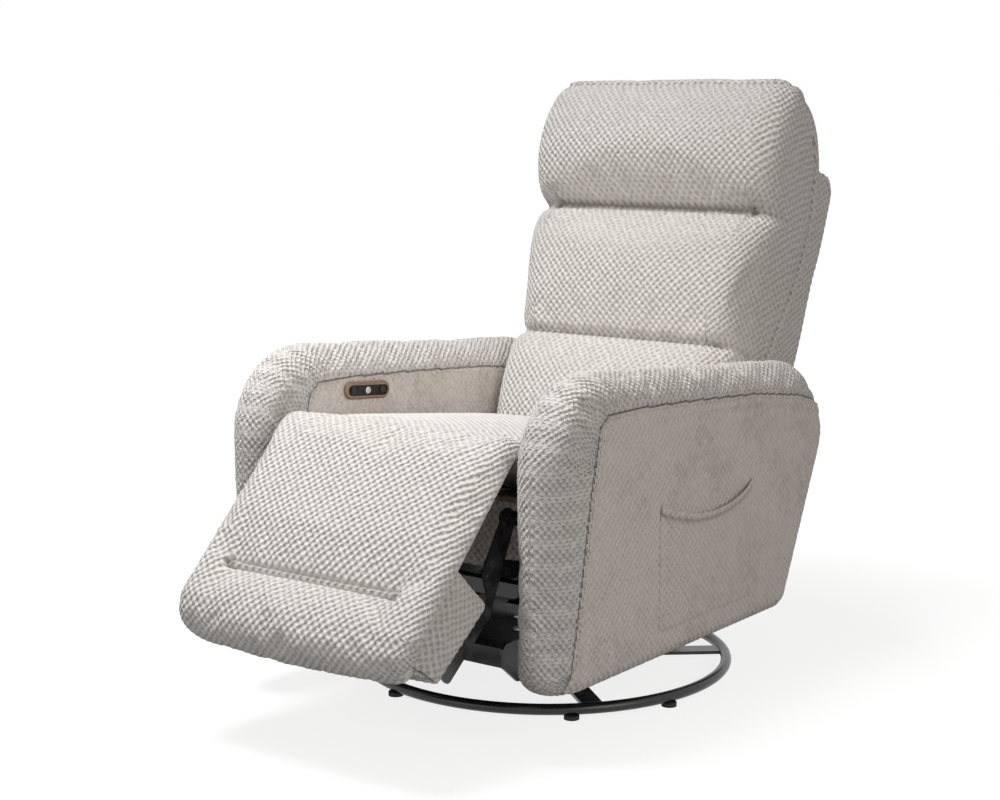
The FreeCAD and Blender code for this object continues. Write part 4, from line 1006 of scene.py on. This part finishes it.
def make_pocket(arm):
    """Cloth panel that bulges from the arm, fuller towards its mouth."""
    low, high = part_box("side_pocket")
    tree = surface(arm)
    rows, columns = 45, 61
    points = []
    for v in np.linspace(0, 1, rows):
        for u in np.linspace(-1, 1, columns):
            y = (low.y + high.y) / 2 + u * (high.y - low.y) / 2
            z = low.z + v * (high.z - low.z - POCKET_SAG * (1 - u ** 2))
            hit = tree.ray_cast(Vector((ARM_OUTER + RAY_START, y, z)), Vector((-1, 0, 0)))[0]
            full = (1 - u ** 4) * (0.4 * math.sin(math.pi * v / 2) + 0.6 * v ** 3)
            hem = HEM_RISE * float(smooth(v, HEM_FROM, HEM_TO))
            points.append((hit.x + POCKET_GAP + POCKET_BULGE * full + hem, y, z))
    pocket = new_object("pocket", points, [face[::-1] for face in grid_faces(rows, columns, False)])
    thick = pocket.modifiers.new("cloth", "SOLIDIFY")
    thick.thickness = POCKET_THICKNESS
    thick.offset = 1.0
    bake(pocket)
    subdivide(pocket)
    place = coordinates(pocket.data)
    u = (2 * place[:, 1] - low.y - high.y) / (high.y - low.y)
    height = high.z - low.z - POCKET_SAG * (1 - u ** 2)
    v = (place[:, 2] - low.z) / height
    border = np.minimum((1 - np.abs(u)) * (high.y - low.y) / 2, v * height)
    # painted shade along the pocket's sewn border and under its hem
    painted_seam_shade = 0.35 * cusp(border, 0.002) + 0.5 * cusp((v - HEM_SEAM) * height, 0.003)
    weave(pocket, place[:, 1], place[:, 2], np.full(len(place), POCKET_PUFF), painted_seam_shade)
    paint(pocket, "arm_fabric")
    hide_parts("side_pocket")
    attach(pocket, "frame")


# Smaller covers, modelled on the forms in the frame

SLACK = 0.0012
COVER_PUFF = 0.8 * PUFF_DEPTH
BOX_NARROW, TOE_NARROW = 0.97, 0.10
BOX_FRONT, BOX_SHORTEN = 0.345, 0.45
BOX_BACK_OUT = 0.006
SHELL_NARROW, SHELL_WIDEN = 0.98, 0.065


def make_cover(name, node, body, shape, up_way):
    """Fabric cover on a CAD form, reshaped, with gentle slack and a weave laid on each of its sides."""
    source = frame["nodes"][node].data
    cover = new_object(name, shape(coordinates(source)), [tuple(p.vertices) for p in source.polygons])
    remesh(cover)
    relax(cover)
    subdivide(cover)
    points = coordinates(cover.data)
    slack = np.sin(points[:, 0] * 31 + points[:, 2] * 17) * np.sin(points[:, 1] * 27 - points[:, 2] * 23)
    press(cover, SLACK * (1 + slack))
    points, way = coordinates(cover.data), normals(cover.data)
    up = np.array([0, *up_way])
    deep = np.array([0, up_way[1], -up_way[0]])
    on_side = np.abs(way[:, 0]) > 0.7
    on_end = ~on_side & (np.abs(way @ up) > 0.75)
    weave(cover, np.where(on_side, points @ deep, points[:, 0]), np.where(on_end, points @ deep, points @ up),
          np.full(len(points), COVER_PUFF), np.zeros(len(points)))
    paint(cover, "waffle_fabric")
    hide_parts(node)
    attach(cover, body)


def under_toe(points):
    """Ottoman box drawn in under the pad's toe and rolled edges."""
    along, out = leg_frame(points)
    past = np.maximum(along - BOX_FRONT, 0)
    narrow = BOX_NARROW - TOE_NARROW * smooth(along, 0.33, 0.37) * smooth(out, -0.03, 0.0)
    points = points * np.stack([narrow, np.ones(len(along)), np.ones(len(along))], 1)
    points = points - np.outer(BOX_BACK_OUT * smooth(-out, 0.02, 0.035), [0, *LEG_OUT])
    return points - np.outer(BOX_SHORTEN * past, [0, *LEG_ALONG])


def inside_lips(points):
    """Back shell narrowed between the pad's lips, and full behind them above the arms."""
    up, front = back_frame(points)
    wide = SHELL_NARROW + SHELL_WIDEN * smooth(up, WIDEN_FROM, WIDEN_TO) * smooth(-front, 0.155, 0.19)
    return points * np.stack([wide, np.ones(len(up)), np.ones(len(up))], 1)


def as_it_is(points):
    return points


make_chaise()
make_back()
left_arm = make_arm()
right_arm = mirror(left_arm, "arm_cover_right")
place_arm(left_arm, "arm_left")
place_arm(right_arm, "arm_right")
make_pocket(left_arm)
make_cover("ottoman_cover", "ottoman_box", "footrest", under_toe, LEG_ALONG)
make_cover("back_cover", "back_shell", "backrest", inside_lips, BACK_UP)
make_cover("front_panel_cover", "front_panel", "frame", as_it_is, (0.0, 1.0))


# Studio: floor, soft lamps and the camera

FLOOR_SIZE = 30.0
FLOOR_GREY = 0.30
NEAR_GLOW, GLOW_RISE = 0.82, 0.18
NEAR, FAR = 0.7, 1.5
AMBIENT = 0.22
LENS, SENSOR = 67.48, 36.0
CAMERA_PLACE, CAMERA_TARGET = Vector((1.9005, -2.6956, 0.9921)), Vector((-0.05644, -0.06068, 0.48347))
CHAIR_MIDDLE = (0.0, -0.15, 0.5)
SEAT_FRONT = (-0.05, -0.35, 0.4)


def seen(tree):
    """1 where a camera, mirror or glass ray meets the stage, 0 for the light that it gives off."""
    path = tree.nodes.new("ShaderNodeLightPath")
    total = path.outputs["Is Camera Ray"]
    for name in ("Is Glossy Ray", "Is Transmission Ray"):
        more = tree.nodes.new("ShaderNodeMath")
        more.operation = "MAXIMUM"
        tree.links.new(total, more.inputs[0])
        tree.links.new(path.outputs[name], more.inputs[1])
        total = more.outputs[0]
    return total


def make_floor():
    """Pale floor that shows white away from the chair and takes the chair's shadow."""
    corners = [(x * FLOOR_SIZE, y * FLOOR_SIZE, 0) for x, y in ((-1, -1), (1, -1), (1, 1), (-1, 1))]
    floor = new_object("floor", corners, [(0, 1, 2, 3)])
    s = Shader("floor_white")
    away = s.node("ShaderNodeVectorMath", {0: s.point()}, operation="LENGTH").outputs["Value"]
    s.finish(Base_Color=rgb(FLOOR_GREY, FLOOR_GREY, FLOOR_GREY), Roughness=0.8, Specular_IOR_Level=0.0)
    s.bsdf.inputs["Emission Color"].default_value = rgb(1, 1, 1)
    glow = s.math("MULTIPLY_ADD", s.ramp(away, NEAR, FAR), GLOW_RISE, NEAR_GLOW)
    s.put(s.bsdf.inputs["Emission Strength"], s.math("MULTIPLY", glow, seen(s.tree)))
    floor.data.materials.append(s.material)


def make_world():
    """Soft light from all round, on a background that is seen as white."""
    world = bpy.data.worlds.new("studio")
    bpy.context.scene.world = world
    world.use_nodes = True
    tree = world.node_tree
    ambient = tree.nodes["Background"]
    ambient.inputs["Color"].default_value = rgb(1.0, 0.965, 0.93)
    ambient.inputs["Strength"].default_value = AMBIENT
    white = tree.nodes.new("ShaderNodeBackground")
    white.inputs["Color"].default_value = rgb(1, 1, 1)
    share = tree.nodes.new("ShaderNodeMixShader")
    tree.links.new(seen(tree), share.inputs[0])
    tree.links.new(ambient.outputs[0], share.inputs[1])
    tree.links.new(white.outputs[0], share.inputs[2])
    tree.links.new(share.outputs[0], tree.nodes["World Output"].inputs[0])


def make_lamp(name, place, aim, size, spread, power, colour):
    light = bpy.data.lights.new(name, "AREA")
    light.shape = "DISK"
    light.size = size
    light.spread = math.radians(spread)
    light.energy = power
    light.color = colour
    lamp = bpy.data.objects.new(name, light)
    bpy.context.scene.collection.objects.link(lamp)
    lamp.location = place
    lamp.rotation_euler = (Vector(aim) - Vector(place)).to_track_quat("-Z", "Y").to_euler()


def make_camera():
    camera = bpy.data.cameras.new("camera")
    camera.sensor_fit = "HORIZONTAL"
    camera.sensor_width = SENSOR
    camera.lens = LENS
    view = bpy.data.objects.new("camera", camera)
    bpy.context.scene.collection.objects.link(view)
    view.location = CAMERA_PLACE
    view.rotation_euler = (CAMERA_TARGET - CAMERA_PLACE).to_track_quat("-Z", "Y").to_euler()
    bpy.context.scene.camera = view


make_floor()
make_world()
make_lamp("key", place=(-0.5, -0.75, 2.5), aim=SEAT_FRONT, size=1.2, spread=85.0, power=11.6,
          colour=(0.99, 0.995, 1.0))
make_lamp("fill", place=(2.9, -0.9, 1.3), aim=CHAIR_MIDDLE, size=1.8, spread=180.0, power=20.0,
          colour=(1.0, 0.95, 0.90))
make_lamp("front", place=(-0.6, -3.0, 1.2), aim=CHAIR_MIDDLE, size=1.8, spread=180.0, power=10.0,
          colour=(1.0, 0.98, 0.96))
make_camera()
bpy.context.scene.view_settings.view_transform = "Standard"
